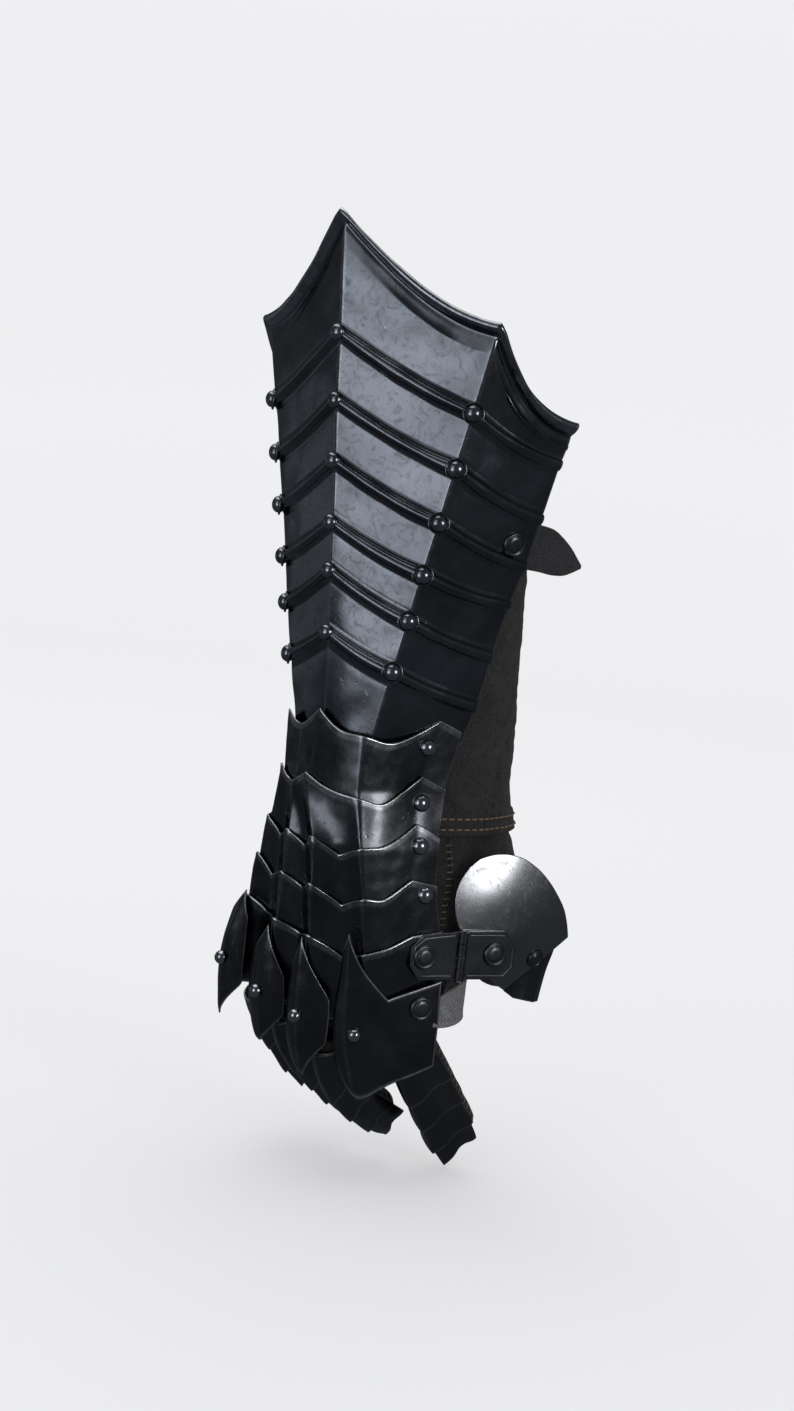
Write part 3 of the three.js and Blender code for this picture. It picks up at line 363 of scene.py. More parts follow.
def leather(name, dark, light, rough, grain=1.0, wrinkle=1.0, scale=1.0):
    m, t, b = nt(name)
    v = node(t, "ShaderNodeTexVoronoi"); v.feature = "DISTANCE_TO_EDGE"; v.inputs["Scale"].default_value = 620 * scale
    wv = node(t, "ShaderNodeVectorMath", operation="ADD")
    c = coords(t); nz = node(t, "ShaderNodeTexNoise"); nz.inputs["Scale"].default_value = 240; nz.inputs["Detail"].default_value = 2
    t.links.new(c, nz.inputs["Vector"])
    sc = node(t, "ShaderNodeVectorMath", operation="SCALE"); sc.inputs["Scale"].default_value = 0.0022
    t.links.new(nz.outputs["Color"], sc.inputs[0]); t.links.new(c, wv.inputs[0]); t.links.new(sc.outputs[0], wv.inputs[1])
    t.links.new(wv.outputs[0], v.inputs["Vector"])
    cell = ramp(t, v.outputs["Distance"], [(0.0, 0.0), (0.22, 1.0)])
    wr = noise(t, 95, 6, 0.72, distort=1.4)
    ridge = ramp(t, wr, [(0.40, 0.0), (0.5, 1.0), (0.60, 0.0)])
    blot = noise(t, 34, 5, 0.65, distort=0.8)
    col = ramp(t, blot, [(0.34, dark), (0.68, light)])
    col = mix(t, math_(t, "MULTIPLY", ridge, 0.35), col, tuple(min(1, 1.7 * x) for x in light))
    col = mix(t, math_(t, "MULTIPLY", math_(t, "SUBTRACT", 1.0, cell), 0.5), col, tuple(0.45 * x for x in dark))
    w = math_(t, "MULTIPLY", wear_and_highlight_of(t), 0.75)
    col = mix(t, w, col, tuple(min(1, 2.4 * x) for x in light))
    t.links.new(col, b.inputs["Base Color"])
    r = math_(t, "ADD", rough - 0.08, math_(t, "MULTIPLY", blot, 0.16))
    t.links.new(r, b.inputs["Roughness"])
    b.inputs["Specular IOR Level"].default_value = 0.36
    b.inputs["Sheen Weight"].default_value = 0.05
    b.inputs["Sheen Roughness"].default_value = 0.5
    bump(t, [(noise(t, 60, 4, 0.6, distort=0.9), 0.5 * wrinkle, 0.0016), (ridge, 0.45 * wrinkle, 0.0006), (cell, 0.4 * grain, 0.00025), (noise(t, 1500, 2, 0.5), 0.2 * grain, 0.0001)], b)
    return m

HIDE = leather("charcoal_leather", (0.0105, 0.0098, 0.0098), (0.029, 0.027, 0.0265), 0.78, wrinkle=1.5)
STRAP = leather("black_strap_leather", (0.010, 0.010, 0.0105), (0.026, 0.026, 0.028), 0.56, wrinkle=0.7)
GREY = leather("grey_strap_leather", (0.095, 0.095, 0.098), (0.16, 0.16, 0.165), 0.6, wrinkle=0.4)

def thread(name, dark, light):
    m, t, b = nt(name)
    w = node(t, "ShaderNodeTexWave"); w.inputs["Scale"].default_value = 900; w.inputs["Distortion"].default_value = 1.0
    w.bands_direction = "DIAGONAL"
    t.links.new(coords(t), w.inputs["Vector"])
    col = mix(t, w.outputs["Fac"], dark, light)
    col = mix(t, math_(t, "MULTIPLY", noise(t, 300, 3), 0.4), col, tuple(0.5 * x for x in dark))
    t.links.new(col, b.inputs["Base Color"])
    b.inputs["Roughness"].default_value = 0.8
    bump(t, [(w.outputs["Fac"], 0.5, 0.0002)], b)
    return m
TAN = thread("tan_waxed_thread", (0.13, 0.080, 0.045), (0.28, 0.185, 0.11))
DARK_THREAD = thread("dark_waxed_thread", (0.10, 0.085, 0.075), (0.24, 0.20, 0.17))

# ---------------------------------------------------------------- cuff
CUFF = [[-20, 21.8, -43.9, -48.6, 38.2, 1.0], [6, 28.0, -43.6, -51.0, 45.3, 2.4], [30, 33.8, -43.2, -53.3, 50.9, 2.6], [54, 39.6, -42.8, -55.6, 57.0, 4.0],
        [72, 44.0, -42.5, -57.4, 62.5, 5.0], [95, 49.6, -42.2, -59.6, 68.4, 5.2], [120, 55.7, -41.7, -62.1, 74.8, 5.6], [138, 60.1, -41.4, -63.9, 82.0, 4.0],
        [176, 69.3, -40.8, -67.6, 91.0, 2.0], [221, 80.3, -40.0, -72.0, 101.0, 0.0]]
RIBS = [[34.2, 20.3, 6.1, 1.5], [62.3, 43.9, 30.2, 1.8], [83.8, 65.0, 54.4, 2.0], [111.3, 88.6, 72.5, 2.3], [137.7, 112.7, 94.7, 2.6], [167.2, 137.3, 119.6, 3.0]]
TOP = [220.2, 176.1, 138.5, 9.0]
def cuff_row(u, row, dz, out):
    a = np.abs(u); s = np.where(u < 0, -1.0, 1.0); first = a <= 1
    p = np.where(first, a, a - 1)
    z = np.where(first, row[0] + (row[1] - row[0]) * p, row[1] + (row[2] - row[1]) * p) - row[3] * 4 * p * (1 - p) + dz
    cx, cy, ry, ex, ey = np.moveaxis(table(CUFF, z, False), -1, 0)
    x = np.where(first, cx * p, cx + (ex - cx) * p); y = np.where(first, ry + (cy - ry) * p, cy + (ey - cy) * p)
    n1 = unit(np.stack([cy - ry, -cx], -1)); n2 = unit(np.stack([ey - cy, -(ex - cx)], -1))
    k = np.clip((a - 0.96) / 0.08, 0, 1)[:, None]
    n = unit(n1 * (1 - k) + n2 * k)
    n = np.where((a < 0.03)[:, None], unit(n * np.array([0, 1]) + n * np.array([1, 0]) * (a / 0.03)[:, None]), n)
    o = out(p) if callable(out) else out
    return np.stack([s * (x + n[:, 0] * o), y + n[:, 1] * o, z], -1)
us = np.unique(np.concatenate([np.linspace(0, 1, 46), [0.012, 0.03, 0.985, 1.015], 1 + np.linspace(0, 1, 44), [1.985]]))
us = np.concatenate([-us[::-1][:-1], us])
crown = lambda p: 0.9 * 4 * p * (1 - p)
rows = []
keys = [([-12, -20, -13, 0], 0)] + [(r, 1) for r in RIBS] + [([193, 157, 129, 6], 2), (TOP, 3)]
for j, (r, kind) in enumerate(keys):
    if j:
        a, b = np.array(keys[j - 1][0], float), np.array(r, float)
        d0 = 3.7 if keys[j - 1][1] == 1 else 0; d1 = 3.7 if kind == 1 else (12 if kind == 3 else 0)
        for f in np.linspace(0, 1, 12)[1:-1]:
            rows.append(cuff_row(us, a + (b - a) * f, d0 * (1 - f) - d1 * f, crown))
    if kind == 1:
        for d in np.linspace(-1, 1, 17):
            h = 2.7 * max(0.0, 1 - d * d) ** 0.62 - (0.25 if abs(d) > 0.99 else 0)
            rows.append(cuff_row(us, r, 3.7 * d * 0.72 - (0 if abs(d) < 1 else 0), lambda p, h=h: crown(p) + h * (1 - 0.25 * (np.abs(us) > 1))))
    elif kind == 3:
        for dz, o in [(-12, 0), (-9, -0.1), (-7, -0.5), (-5.9, -0.9), (-5.2, -0.6), (-4.6, 0.6), (-3.9, 1.9), (-3.0, 2.9), (-2.0, 3.3), (-1.0, 3.2), (-0.2, 2.6), (0.2, 1.7)]:
            rows.append(cuff_row(us, r, dz, lambda p, o=o: crown(p) * 0.4 + o))
    elif kind in (0, 2):
        rows.append(cuff_row(us, r, 0, crown))
G = np.array(rows)
G += normals(G) * (0.28 * wobble(G, 46) + 0.10 * wobble(G, 17, 14))[..., None]
V, F, M = shell(G, 1.0)
hgt = np.zeros(G.shape[:2])
parts = [(V, F, M)]
wear_and_highlight = np.zeros(len(V))
ua = np.abs(us)
ridge = np.exp(-(ua / 0.014) ** 2) + np.exp(-((ua - 1) / 0.014) ** 2)
# centre and corner ridge lines lightened: painted highlight with some rubbed wear; rows -7 to -2, the rolled top rim,
# lightened as painted highlight
W = np.tile(ridge * 0.8, (len(G), 1)); W[-7:-1] = 0.5
wear_and_highlight[:G.shape[0] * G.shape[1]] = W.ravel()
# the ridge balls and their rings are lightened as well: painted highlight with some rubbed wear
for r in RIBS:
    for s in (-1, 0, 1):
        p = cuff_row(np.array([s * 1.0 + (0 if s else 0.0)]), r, 0, 1.4)[0]
        cx, cy, ry, ex, ey = table(CUFF, [r[1]], False)[0]
        n2 = unit(np.array([cy - ry, -cx])) + unit(np.array([ey - cy, -(ex - cx)])) if s else np.array([0, -1.0])
        n = unit(np.array([s * n2[0], n2[1], 0])) if s else np.array([0, -1.0, 0])
        v, f = ball(4.0 if s else 3.7, 28, 0.82)
        parts.append((turned(v, p, n), f, 0)); wear_and_highlight = np.concatenate([wear_and_highlight, np.full(len(v), 0.45)])
        if s:
            a = np.linspace(0, 2 * math.pi, 33)[:-1]
            ring_ = turned(np.stack([4.5 * np.cos(a), 4.5 * np.sin(a), 0 * a - 0.5], -1), p, n)
            v, f = tube(ring_, 0.55, 8, closed=True); parts.append((v, f, 0)); wear_and_highlight = np.concatenate([wear_and_highlight, np.full(len(v), 0.2)])
V, F, M = join(parts)
make("cuff_plate", V, F, [STEEL, BARE_EDGE_AND_HIGHLIGHT], ROOT, ["cuff"], M, wear_and_highlight)

# ---------------------------------------------------------------- wrist and hand plates
HAND = [[0, -23, -48.0, -17, -49.2, -11, -50.4, -5.5, -51.5, 0, -52.6, 11.5, -50.3, 23, -48.0, 69, 38, 51],
        [-35, -24.5, -48.8, -19, -50.1, -13.5, -51.5, -9, -52.8, -4, -54.3, 10, -52.6, 24, -49.3, 67, 29, 44],
        [-60, -29, -50.5, -19.5, -49.0, -10.5, -55.8, -1, -53.0, 8.5, -59.7, 18.5, -52.0, 30, -50.6, 66, 28, 39.3],
        [-82, -34, -51.0, -22.5, -49.5, -11.5, -55.6, -0.5, -51.7, 10.5, -59.8, 21, -49.8, 33.5, -49.0, 66, 22, 36.9],
        [-105, -37.3, -52.1, -24.5, -49.0, -12.5, -56.5, -1, -49.5, 11, -58.0, 23, -46.8, 35.5, -47.4, 64, 24, 40.5],
        [-138, -38.5, -50.5, -27, -45.0, -14, -52.5, -1.5, -47.0, 11, -54.5, 23.5, -42.5, 35.2, -42.5, 64, 22, 37.5]]
TOPS = [[-6.5, -1.4, -12, -5, -9, -9.5, -6, -1, -9, -10.3, -12.3, -1.4, -6.5],
        [-33, -27.3, -37, -30.5, -35, -36.5, -34, -31, -36.5, -38.5, -40, -27.3, -33.1],
        [-55, -48.7, -55, -55.7, -63.4, -58.4, -64.5, -58.2, -65.1, -60.5, -58.5, -48.7, -55],
        [-76.4, -73.6, -80, -73.8, -82.9, -78.6, -84.3, -79.4, -87.9, -83, -82.5, -73.6, -76.4],
        [-97.5, -99.2, -104, -94.4, -100.5, -100.9, -106.2, -103.2, -112.3, -108.3, -105, -99.2, -97.5],
        [-126, -129, -134, -138, -138, -141, -140, -143, -142, -140, -137, -132, -126]]
def hand_cols(z):
    r = table(HAND, z, False)
    pts = [np.stack([r[..., 2 * k], r[..., 2 * k + 1]], -1) for k in range(7)]
    az, tc, tr = r[..., 14], r[..., 15], r[..., 16]
    c, s = np.cos(np.radians(az)), np.sin(np.radians(az))
    def side(t, b):
        return (np.stack([pts[0][..., 0] - c * t - s * b, pts[0][..., 1] + s * t - c * b], -1), np.stack([pts[6][..., 0] + c * t + s * b, pts[6][..., 1] + s * t - c * b], -1))
    a, b, d = side(tc * 0.45, 1.2), side(tc, 0.96), side(tr, 0)
    return np.stack([d[0], b[0], a[0], *pts, a[1], b[1], d[1]], -2)
um = np.unique(np.concatenate([np.linspace(0, 12, 157), [0.03, 11.97]]))
Wu = weights(13, um, (3, 5, 7, 9), 0.05)
for i in range(5):
    pk = [1, 3, 7, 11] if i == 0 else [1, 3, 5, 7, 11] + ([9] if i == 4 else [])
    lo_pk = sorted(set(pk + ([4, 6, 8] if i >= 2 else [])))
    zt = spline(range(13), TOPS[i], um, lo_pk)
    zb = spline(range(13), TOPS[i + 1], um, [1, 3, 5, 7, 11]) - (8 if i < 4 else 0)
    L = zt - zb
    vs = np.concatenate([[0, 0.012, 0.03], np.linspace(0.06, 0.98, 26), [1.0]])
    z = zt[None] - vs[:, None] * L[None]
    C = hand_cols(z)
    xy = np.einsum("jikc,ik->jic", C, Wu)
    g = np.concatenate([xy, z[..., None]], -1)[::-1]
    g = g + normals(g) * (1.3 * (1 - 2 * vs[::-1]))[:, None, None]
    g = g + normals(g) * (0.16 * wobble(g, 26) + 0.05 * wobble(g, 9, 14))[..., None]
    V, F, M = shell(g, 1.0)
    # creases lightened (painted highlight with some rubbed wear), and the top edge rows lightened more (painted
    # highlight)
    wear_and_highlight = np.zeros(len(V))
    cr = sum(np.exp(-((um - k) / 0.05) ** 2) * w for k, w in ((3, .6), (5, .7), (7, .7), (9, .95 if i == 0 else .35)))
    w2 = np.tile(cr, (len(g), 1)); w2[-4:] = 0.8
    wear_and_highlight[:w2.size] = w2.ravel()
    make(f"wrist_plate_{i + 1}", V, F, [LAME, BARE_EDGE_AND_HIGHLIGHT], ROOT, [f"lame_{i + 1}"], M, wear_and_highlight)

# ---------------------------------------------------------------- knuckle plates
KN = {
 "knuckle_middle": ([-134, -117, -103.9, -117, -132], [-156, -165, -170, -161, -152],
   [[-104, 5, 8, 10.7, 13.5, 16.5, -58.5, -61.0, -62.3, -60.5, -57.5], [-135, 0.5, 4.5, 11, 17.5, 23.5, -56.2, -60.0, -62.0, -57.8, -51.8],
    [-155, 1, 5, 11, 17, 22.5, -53.5, -57.0, -58.8, -55.5, -50.8], [-170, 3.5, 6, 11, 15.5, 19.5, -48.5, -51.0, -52.2, -50.5, -48.0]]),
 "knuckle_ring": ([-126, -115, -103.9, -114, -128], [-152, -158.5, -160, -153, -145],
   [[-104, -19, -16.5, -13.2, -10.5, -8, -57.0, -58.8, -59.6, -58.8, -57.0], [-130, -27, -23, -16, -9, -3.8, -53.0, -57.8, -60.6, -58.4, -54.0],
    [-150, -26, -22, -16, -9.5, -4.5, -51.0, -55.2, -57.5, -55.3, -51.5], [-160, -23, -20, -16, -11, -7, -50.0, -52.5, -54.0, -52.0, -50.0]]),
 "knuckle_little": ([-112, -101, -92, -98, -106], [-141, -148, -153.5, -145, -137],
   [[-92, -38.5, -36, -33.2, -31.5, -30.5, -54.0, -55.2, -55.4, -55.2, -54.8], [-125, -50.5, -47.5, -42, -36.5, -31.8, -48.0, -54.0, -58.0, -56.5, -53.6],
    [-140, -50, -47.5, -43, -37.5, -33, -48.5, -53.5, -57.0, -55.5, -52.5], [-154, -46, -45, -43, -41, -39, -52.0, -54.0, -55.4, -54.6, -53.0]]),
 "knuckle_index": ([-114, -106, -98.5, -109, -119.5, -129, -124.5, -120], [-159, -169, -176, -176, -172.5, -168.5, -165, -160.6],
   [[-98.5, 29, 30.5, 32.5, 34.5, 36.5, 41.5, 47.5, 54.2, -53.5, -54.5, -54.8, -53.2, -50.8, -37, -24, -10.5],
    [-125, 25.5, 28, 32, 36, 39.2, 43.0, 48.8, 54.8, -50.5, -52.3, -52.0, -48.0, -42.5, -35.2, -23.6, -10.8],
    [-145, 24.3, 27.5, 31.5, 35.5, 39, 43, 48.7, 54.5, -49.5, -51.5, -50.0, -45.2, -39.6, -32.2, -21.2, -9.8],
    [-176, 28, 30, 33, 37, 41, 45, 49.5, 53.5, -40.5, -41, -40.2, -36.8, -31.8, -24.8, -16.8, -9.5]])}
for k, (top, bot, sec) in KN.items():
    n = len(top); u = np.unique(np.concatenate([np.linspace(0, n - 1, 12 * (n - 1) + 1), [0.05, n - 1.05]]))
    zt, zb = spline(range(n), top, u, (2, 5) if n == 8 else (2,)), spline(range(n), bot, u, (2,) if n == 5 else ())
    vs = np.concatenate([[0, 0.008, 0.02], np.linspace(0.045, 0.955, 36), [0.98, 0.992, 1.0]])
    z = zt + vs[:, None] * (zb - zt)
    r = table(sec, z); Wk = weights(n, u, (2,), 0.22)
    g = np.stack([np.einsum("jik,ik->ji", r[..., :n], Wk), np.einsum("jik,ik->ji", r[..., n:], Wk), z], -1)[::-1]
    g = g + normals(g) * (0.14 * wobble(g, 22) + 0.04 * wobble(g, 8, 14))[..., None]
    V, F, M = shell(g, 1.0, edge=2)
    # ridge and borders lightened: painted highlight with some rubbed wear
    wear_and_highlight = np.zeros(len(V)); w2 = np.tile(np.exp(-((u - 2) / 0.12) ** 2) * 0.35, (len(g), 1)); w2[:3] = w2[-3:] = 0.6; w2[:, :2] = w2[:, -2:] = 0.6
    wear_and_highlight[:w2.size] = w2.ravel()
    make(k + "_plate", V, F, [LAME, DULL_EDGE], ROOT, [k], M, wear_and_highlight)

# ---------------------------------------------------------------- fingers
FINGERS = {
 "index": (37.4, 11.4, 14.2, [[-26, -134], [-10, -153], [5, -170], [17, -184.5], [28, -197.5], [35, -206]], [0.30, 0.50, 0.68, 0.85, 1.0], 0.345, 1.0),
 "middle": (11.5, 10.0, 11.2, [[-36, -132], [-36, -150], [-28, -168], [-13, -183], [2, -192], [12, -197]], [0.30, 0.48, 0.65, 0.82, 1.0], 0.23, 0.98),
 "ring": (-15.0, 10.0, 11.2, [[-34, -128], [-36, -143], [-30, -158], [-16, -172], [-1, -183.5], [11, -193]], [0.26, 0.45, 0.64, 0.82, 1.0], 0.23, 0.98),
 "little": (-40.5, 9.2, 10.3, [[-33, -122], [-31, -140], [-19, -158], [-4, -174], [9, -187]], [0.30, 0.54, 0.78, 1.0], 0.33, 0.98)}
def finger(f):
    x, w, h, path, cuts, s0, s1 = FINGERS[f]
    P = np.array(path, float); d = np.concatenate([[0], np.cumsum(np.sqrt(np.linalg.norm(np.diff(P, axis=0), axis=1)))])
    q = np.linspace(0, d[-1], 600); c = spline(d, P, q)
    L = np.concatenate([[0], np.cumsum(np.linalg.norm(np.diff(c, axis=0), axis=1))]); tot = L[-1]
    def at(s):
        s = np.asarray(s, float); e = np.clip(s, 0, 1) * tot
        y, z = np.interp(e, L, c[:, 0]), np.interp(e, L, c[:, 1])
        T = np.gradient(c, L, axis=0); ty, tz = np.interp(e, L, T[:, 0]), np.interp(e, L, T[:, 1])
        k = np.hypot(ty, tz); ty, tz = ty / k, tz / k
        y, z = y + ty * np.maximum(s - 1, 0) * tot, z + tz * np.maximum(s - 1, 0) * tot
        return y, z, ty, tz
    return at, tot
def fpoint(f, at, s, ang, off, ridge=1.1):
    x, w, h = FINGERS[f][:3]
    y, z, ty, tz = at(s)
    ww, hh = w + off, h + off + ridge * np.maximum(0, 1 - np.abs(ang) / 0.5) ** 1.3
    c = np.cos(ang) * np.where(np.cos(ang) < 0, 0.9, 1)
    return np.stack([x + ww * np.sin(ang), y + tz * hh * c, z - ty * hh * c], -1)
for f, (x, w, h, path, cuts, st0, st1) in FINGERS.items():
    at, tot = finger(f)
    for k in range(len(cuts) - 1):
        tip = k == len(cuts) - 2
        s0, s1 = cuts[k] - 1.5 / tot, cuts[k + 1] + (0 if tip else 2.0 / tot)
        ang = np.unique(np.concatenate([np.linspace(-104, 104, 65), [-103.2, 103.2]])) * math.pi / 180
        vs = np.concatenate([np.linspace(0, 0.94, 20), [0.975, 0.99, 1.0]])
        a1 = np.abs(ang) / (104 * math.pi / 180)
        pt = (6.8 * (1 - np.clip(a1 * 1.9, 0, 1)) ** 1.25 - 2.6 * np.exp(-((a1 - 0.62) / 0.22) ** 2) + 1.5 * np.clip((a1 - 0.7) / 0.3, 0, 1)) / tot
        s = s0 + vs[:, None] * (s1 + pt[None] - s0)
        off = (1.4 * vs - 2.4 * vs**2 if tip else 1.75 * vs)[:, None] + 0 * s
        g = fpoint(f, at, s, ang[None] + 0 * s, off)[::-1]
        g = g + normals(g) * (0.12 * wobble(g, 14))[..., None]
        V, F, M = shell(g, 0.9, edge=1)
        # ridge and lower edge lightened: painted highlight with some rubbed wear
        wear_and_highlight = np.zeros(len(V)); w2 = np.tile(np.exp(-(ang / 0.05) ** 2) * 0.3, (len(g), 1)); w2[:3] = 0.5
        wear_and_highlight[:w2.size] = w2.ravel()
        nm = f"{f}_lame_{'tip' if tip else k + 1}"
        make(nm + "_plate", V, F, [MATT, DULL_EDGE], ROOT, [nm], M, wear_and_highlight)

# ---------------------------------------------------------------- leather glove
SLEEVE = [[84, -44, 27, -39.5, 43, -13, 48.5, 15, 33, 43.5, 53.5], [35, -46, 24, -40.5, 38.5, -12, 46, 18, 33.7, 47.2, 58.5], [0, -45.5, 20, -40.5, 33.5, -11, 43.5, 20, 34, 49.4, 60.5],
          [-12, -45.0, 19, -40.5, 31, -13, 42.5, 20, 34.4, 49.5, 61], [-22, -45.0, 19, -40.5, 29.5, -14, 41.7, 20, 34.9, 49.6, 61.5],
          [-42, -46.3, 22, -42.7, 36.5, -15.5, 46.5, 18.5, 37.2, 49.6, 63], [-54, -46.5, 23.5, -43.4, 38.5, -16.3, 48.4, 18, 38.8, 50.6, 64.5]]
SKIN = [[-50, -44.0, 21, -40.5, 35.5, -16, 44, 17, 35.6, 46.8, 60], [-66, -44.0, 23.5, -40.8, 38.5, -17, 47.5, 18, 41.4, 50.6, 63.5], [-76, -44.0, 24.5, -41.2, 40.5, -17.5, 50, 16, 43.2, 49.5, 61],
        [-86, -43.8, 25.5, -41.2, 42.2, -17, 51, 13, 41, 42, 53], [-100, -42.5, 27, -38.5, 43.5, -15, 50.5, 9, 37, 33, 41], [-120, -40.5, 28, -35.5, 43.5, -14, 47, 4, 33, 20, 25],
        [-136, -40.0, 28.5, -34, 42.3, -15, 45, -1, 31, 11, 15], [-146, -41.0, 28.5, -35.5, 42, -16, 44, -2, 31, 8, 11]]
def loop(r, n):
    h = [(r[1], r[2]), (r[3], r[4]), (r[5], r[6]), (r[7], r[8])]
    P = np.array([(0, r[0]), *h, (0, r[9]), *[(-x, y) for x, y in h[::-1]]])
    P3 = np.concatenate([P, P, P]); d = np.concatenate([[0], np.cumsum(np.sqrt(np.linalg.norm(np.diff(P3, axis=0), axis=1)))])
    return spline(d, P3, np.linspace(d[10], d[20], n + 1)[:-1])
def tubular(rows, z, n=240):
    R = table(rows, z)
    return np.stack([np.concatenate([loop(r, n), np.full((n, 1), zz)], 1) for r, zz in zip(R, z)])
zs = np.linspace(-54, 84, 116)
g = tubular(SLEEVE, zs)
fold = np.exp(-((g[..., 2] + 22) / 26) ** 2)
g = g + normals(g, True) * (0.45 * wobble(g, 34) * (0.5 + fold) + 0.22 * wobble(g * np.array([1, 1, 2.2]), 15, 14) - 0.3
     + 0.75 * np.clip((-43.5 - g[..., 2]) / 0.8, 0, 1))[..., None]
V, F, M = shell(g, 1.5, wrap=True)
make("glove_cuff_leather", V, F, [HIDE, HIDE], ROOT, ["glove_sleeve"], M)
SLEEVE_G = g
zs2 = np.linspace(-146, -50, 96)
g = tubular(SKIN, zs2)
g[..., 2] -= 0.1 * g[..., 0] * np.clip((-120 - g[..., 2]) / 26, 0, 1)
g = g + normals(g, True) * (0.35 * wobble(g, 28) + 0.22 * wobble(g, 11, 14) - 0.3)[..., None]
V, F, M = shell(g, 1.5, wrap=True)
make("glove_hand_leather", V, F, [HIDE, HIDE], ROOT, ["glove_hand"], M)
HAND_G = g

def sack(grid, t):
    V, F, M = shell(grid, t, wrap=True)
    n, m = grid.shape[:2]; N = normals(grid, True)
    cut = 2 * m                                    # drop the rim at the closed end and cap both skins instead
    F = F[:2] + F[2:4]
    V = V[:2 * n * m + m]; M = M[:sum(len(f) for f in F)]
    o = grid[-1].mean(0); i = o + unit(grid[-2].mean(0) - o) * t
    a = len(V); V = np.concatenate([V, [o, i]])
    c = np.arange(m); c1 = (c + 1) % m
    F = F + [np.stack([(n - 1) * m + c, (n - 1) * m + c1, np.full(m, a)], -1), np.stack([n * m + (n - 1) * m + c1, n * m + (n - 1) * m + c, np.full(m, a + 1)], -1)]
    return V, F, np.concatenate([M, np.zeros(2 * m, int)])
stitches = []
def stitch(p, d, n, L=3.0, r=0.42):
    d = unit(np.asarray(d, float)); n = unit(np.asarray(n, float)); k = np.linspace(-1, 1, 7)
    path = np.asarray(p) + np.outer(k * L / 2, d) + np.outer(0.55 * (1 - k**2) - 0.15, n)
    v, f = tube(path, r * (1 - 0.5 * np.abs(k) ** 3), 6)
    return v, f, 0
for f, (x, w, h, path, cuts, s0, s1) in FINGERS.items():
    at, tot = finger(f)
    q = np.concatenate([np.linspace(0, 0.86, 40), 0.86 + 0.14 * np.sin(np.linspace(0, math.pi / 2, 12))[1:]])
    k = np.where(q > 0.86, np.sqrt(np.maximum(0.02, 1 - ((q - 0.86) / 0.1415) ** 2)), 1)
    a = -np.arange(56) * 2 * math.pi / 56
    s = (s0 + (s1 - s0) * q)[:, None] + 0 * a
    y, z, ty, tz = at(s)
    ww, hh = (w - 1.5) * k[:, None], (h - 1.5) * k[:, None]
    c = np.cos(a) * np.where(np.cos(a) < 0, 0.92, 1)
    g = np.stack([x + ww * np.sin(a), y + tz * hh * c, z - ty * hh * c], -1)
    if f == "index":                                # the leather stands out past the plates on the palm side
        g = g + normals(g, True) * (0.9 * np.clip(-np.cos(a) + 0.15, 0, 1))[None, :, None]
    g = g + normals(g, True) * (0.25 * wobble(g, 13) - 0.15)[..., None]
    V, F, M = sack(g, 1.5)
    if V is not None:
        make(f"glove_{f}_stall", V, F, [HIDE, HIDE], ROOT, [f"glove_finger_{f}"], M)
    if f in ("index", "middle"):
        N = normals(g, True)
        for col in (20, 36):
            for j in range(3, 40, 3):
                stitches.append(stitch(g[j, col], g[j, col + 1] - g[j, col - 1] + 0.6 * (g[j + 1, col] - g[j, col]), N[j, col], 3.2, 0.34))
q = np.concatenate([np.linspace(0, 0.8, 24), 0.8 + 0.2 * np.sin(np.linspace(0, math.pi / 2, 10))[1:]])
P = spline([0, 1, 2, 3], [[50.6, 34, -101], [48.8, 37, -109], [46.5, 39.5, -118], [43.9, 41.5, -127.5]], q * 3)
T = unit(np.gradient(P, axis=0)); E = unit(np.cross([0, 0, 1.0], T)); Nn = np.cross(T, E)
k = np.where(q > 0.8, np.sqrt(np.maximum(0.02, 1 - ((q - 0.8) / 0.2015) ** 2)), 1) * 8.8
a = -np.arange(48) * 2 * math.pi / 48
g = P[:, None] + k[:, None, None] * (np.cos(a)[None, :, None] * E[:, None] + np.sin(a)[None, :, None] * Nn[:, None])
g = g + normals(g, True) * (0.25 * wobble(g, 12) - 0.15)[..., None]
V, F, M = sack(g, 1.5)
make("glove_thumb_stall", V, F, [HIDE, HIDE], ROOT, ["glove_thumb"], M)
# two rows of stitching round the sleeve's hem
Ns = normals(SLEEVE_G, True); N_DARK = len(stitches)
for zrow in (-46.6, -51.2):
    j = int(np.argmin(np.abs(zs - zrow))); R = SLEEVE_G[j]
    d = np.concatenate([[0], np.cumsum(np.linalg.norm(np.roll(R, -1, 0) - R, axis=1))]); n_s = int(d[-1] / 4.3)
    for s_ in np.arange(n_s) * d[-1] / n_s:
        i = int(np.searchsorted(d, s_, side="right") - 1) % len(R)
        stitches.append(stitch(R[i], R[(i + 1) % len(R)] - R[i - 1] + np.array([0, 0, 0.06]), Ns[j, i], 3.1, 0.45))
# whip-stitched seam down the thumb side of the hand
N_HEM = len(stitches); Nh = normals(HAND_G, True); side = int(np.argmin(np.linalg.norm(HAND_G[60, :, :2] - np.array([47.5, -6.0]), axis=1)))
for j in range(14, 88, 3):
    stitches.append(stitch(HAND_G[j, side], (HAND_G[j, side + 2] - HAND_G[j, side - 2]) + 0.5 * (HAND_G[j + 1, side] - HAND_G[j, side]), Nh[j, side], 3.4, 0.38))
V, F, M = join(stitches[N_DARK:N_HEM])
make("glove_hem_stitches", V, F, [TAN], ROOT, (), M)
V, F, M = join(stitches[:N_DARK] + stitches[N_HEM:])
make("glove_whip_stitches", V, F, [DARK_THREAD], ROOT, (), M)
v, f = tube(np.array([HAND_G[j, side] for j in range(10, 92)]) + 0.1, 0.7, 8)
make("glove_seam_welt", v, f, [HIDE], ROOT)

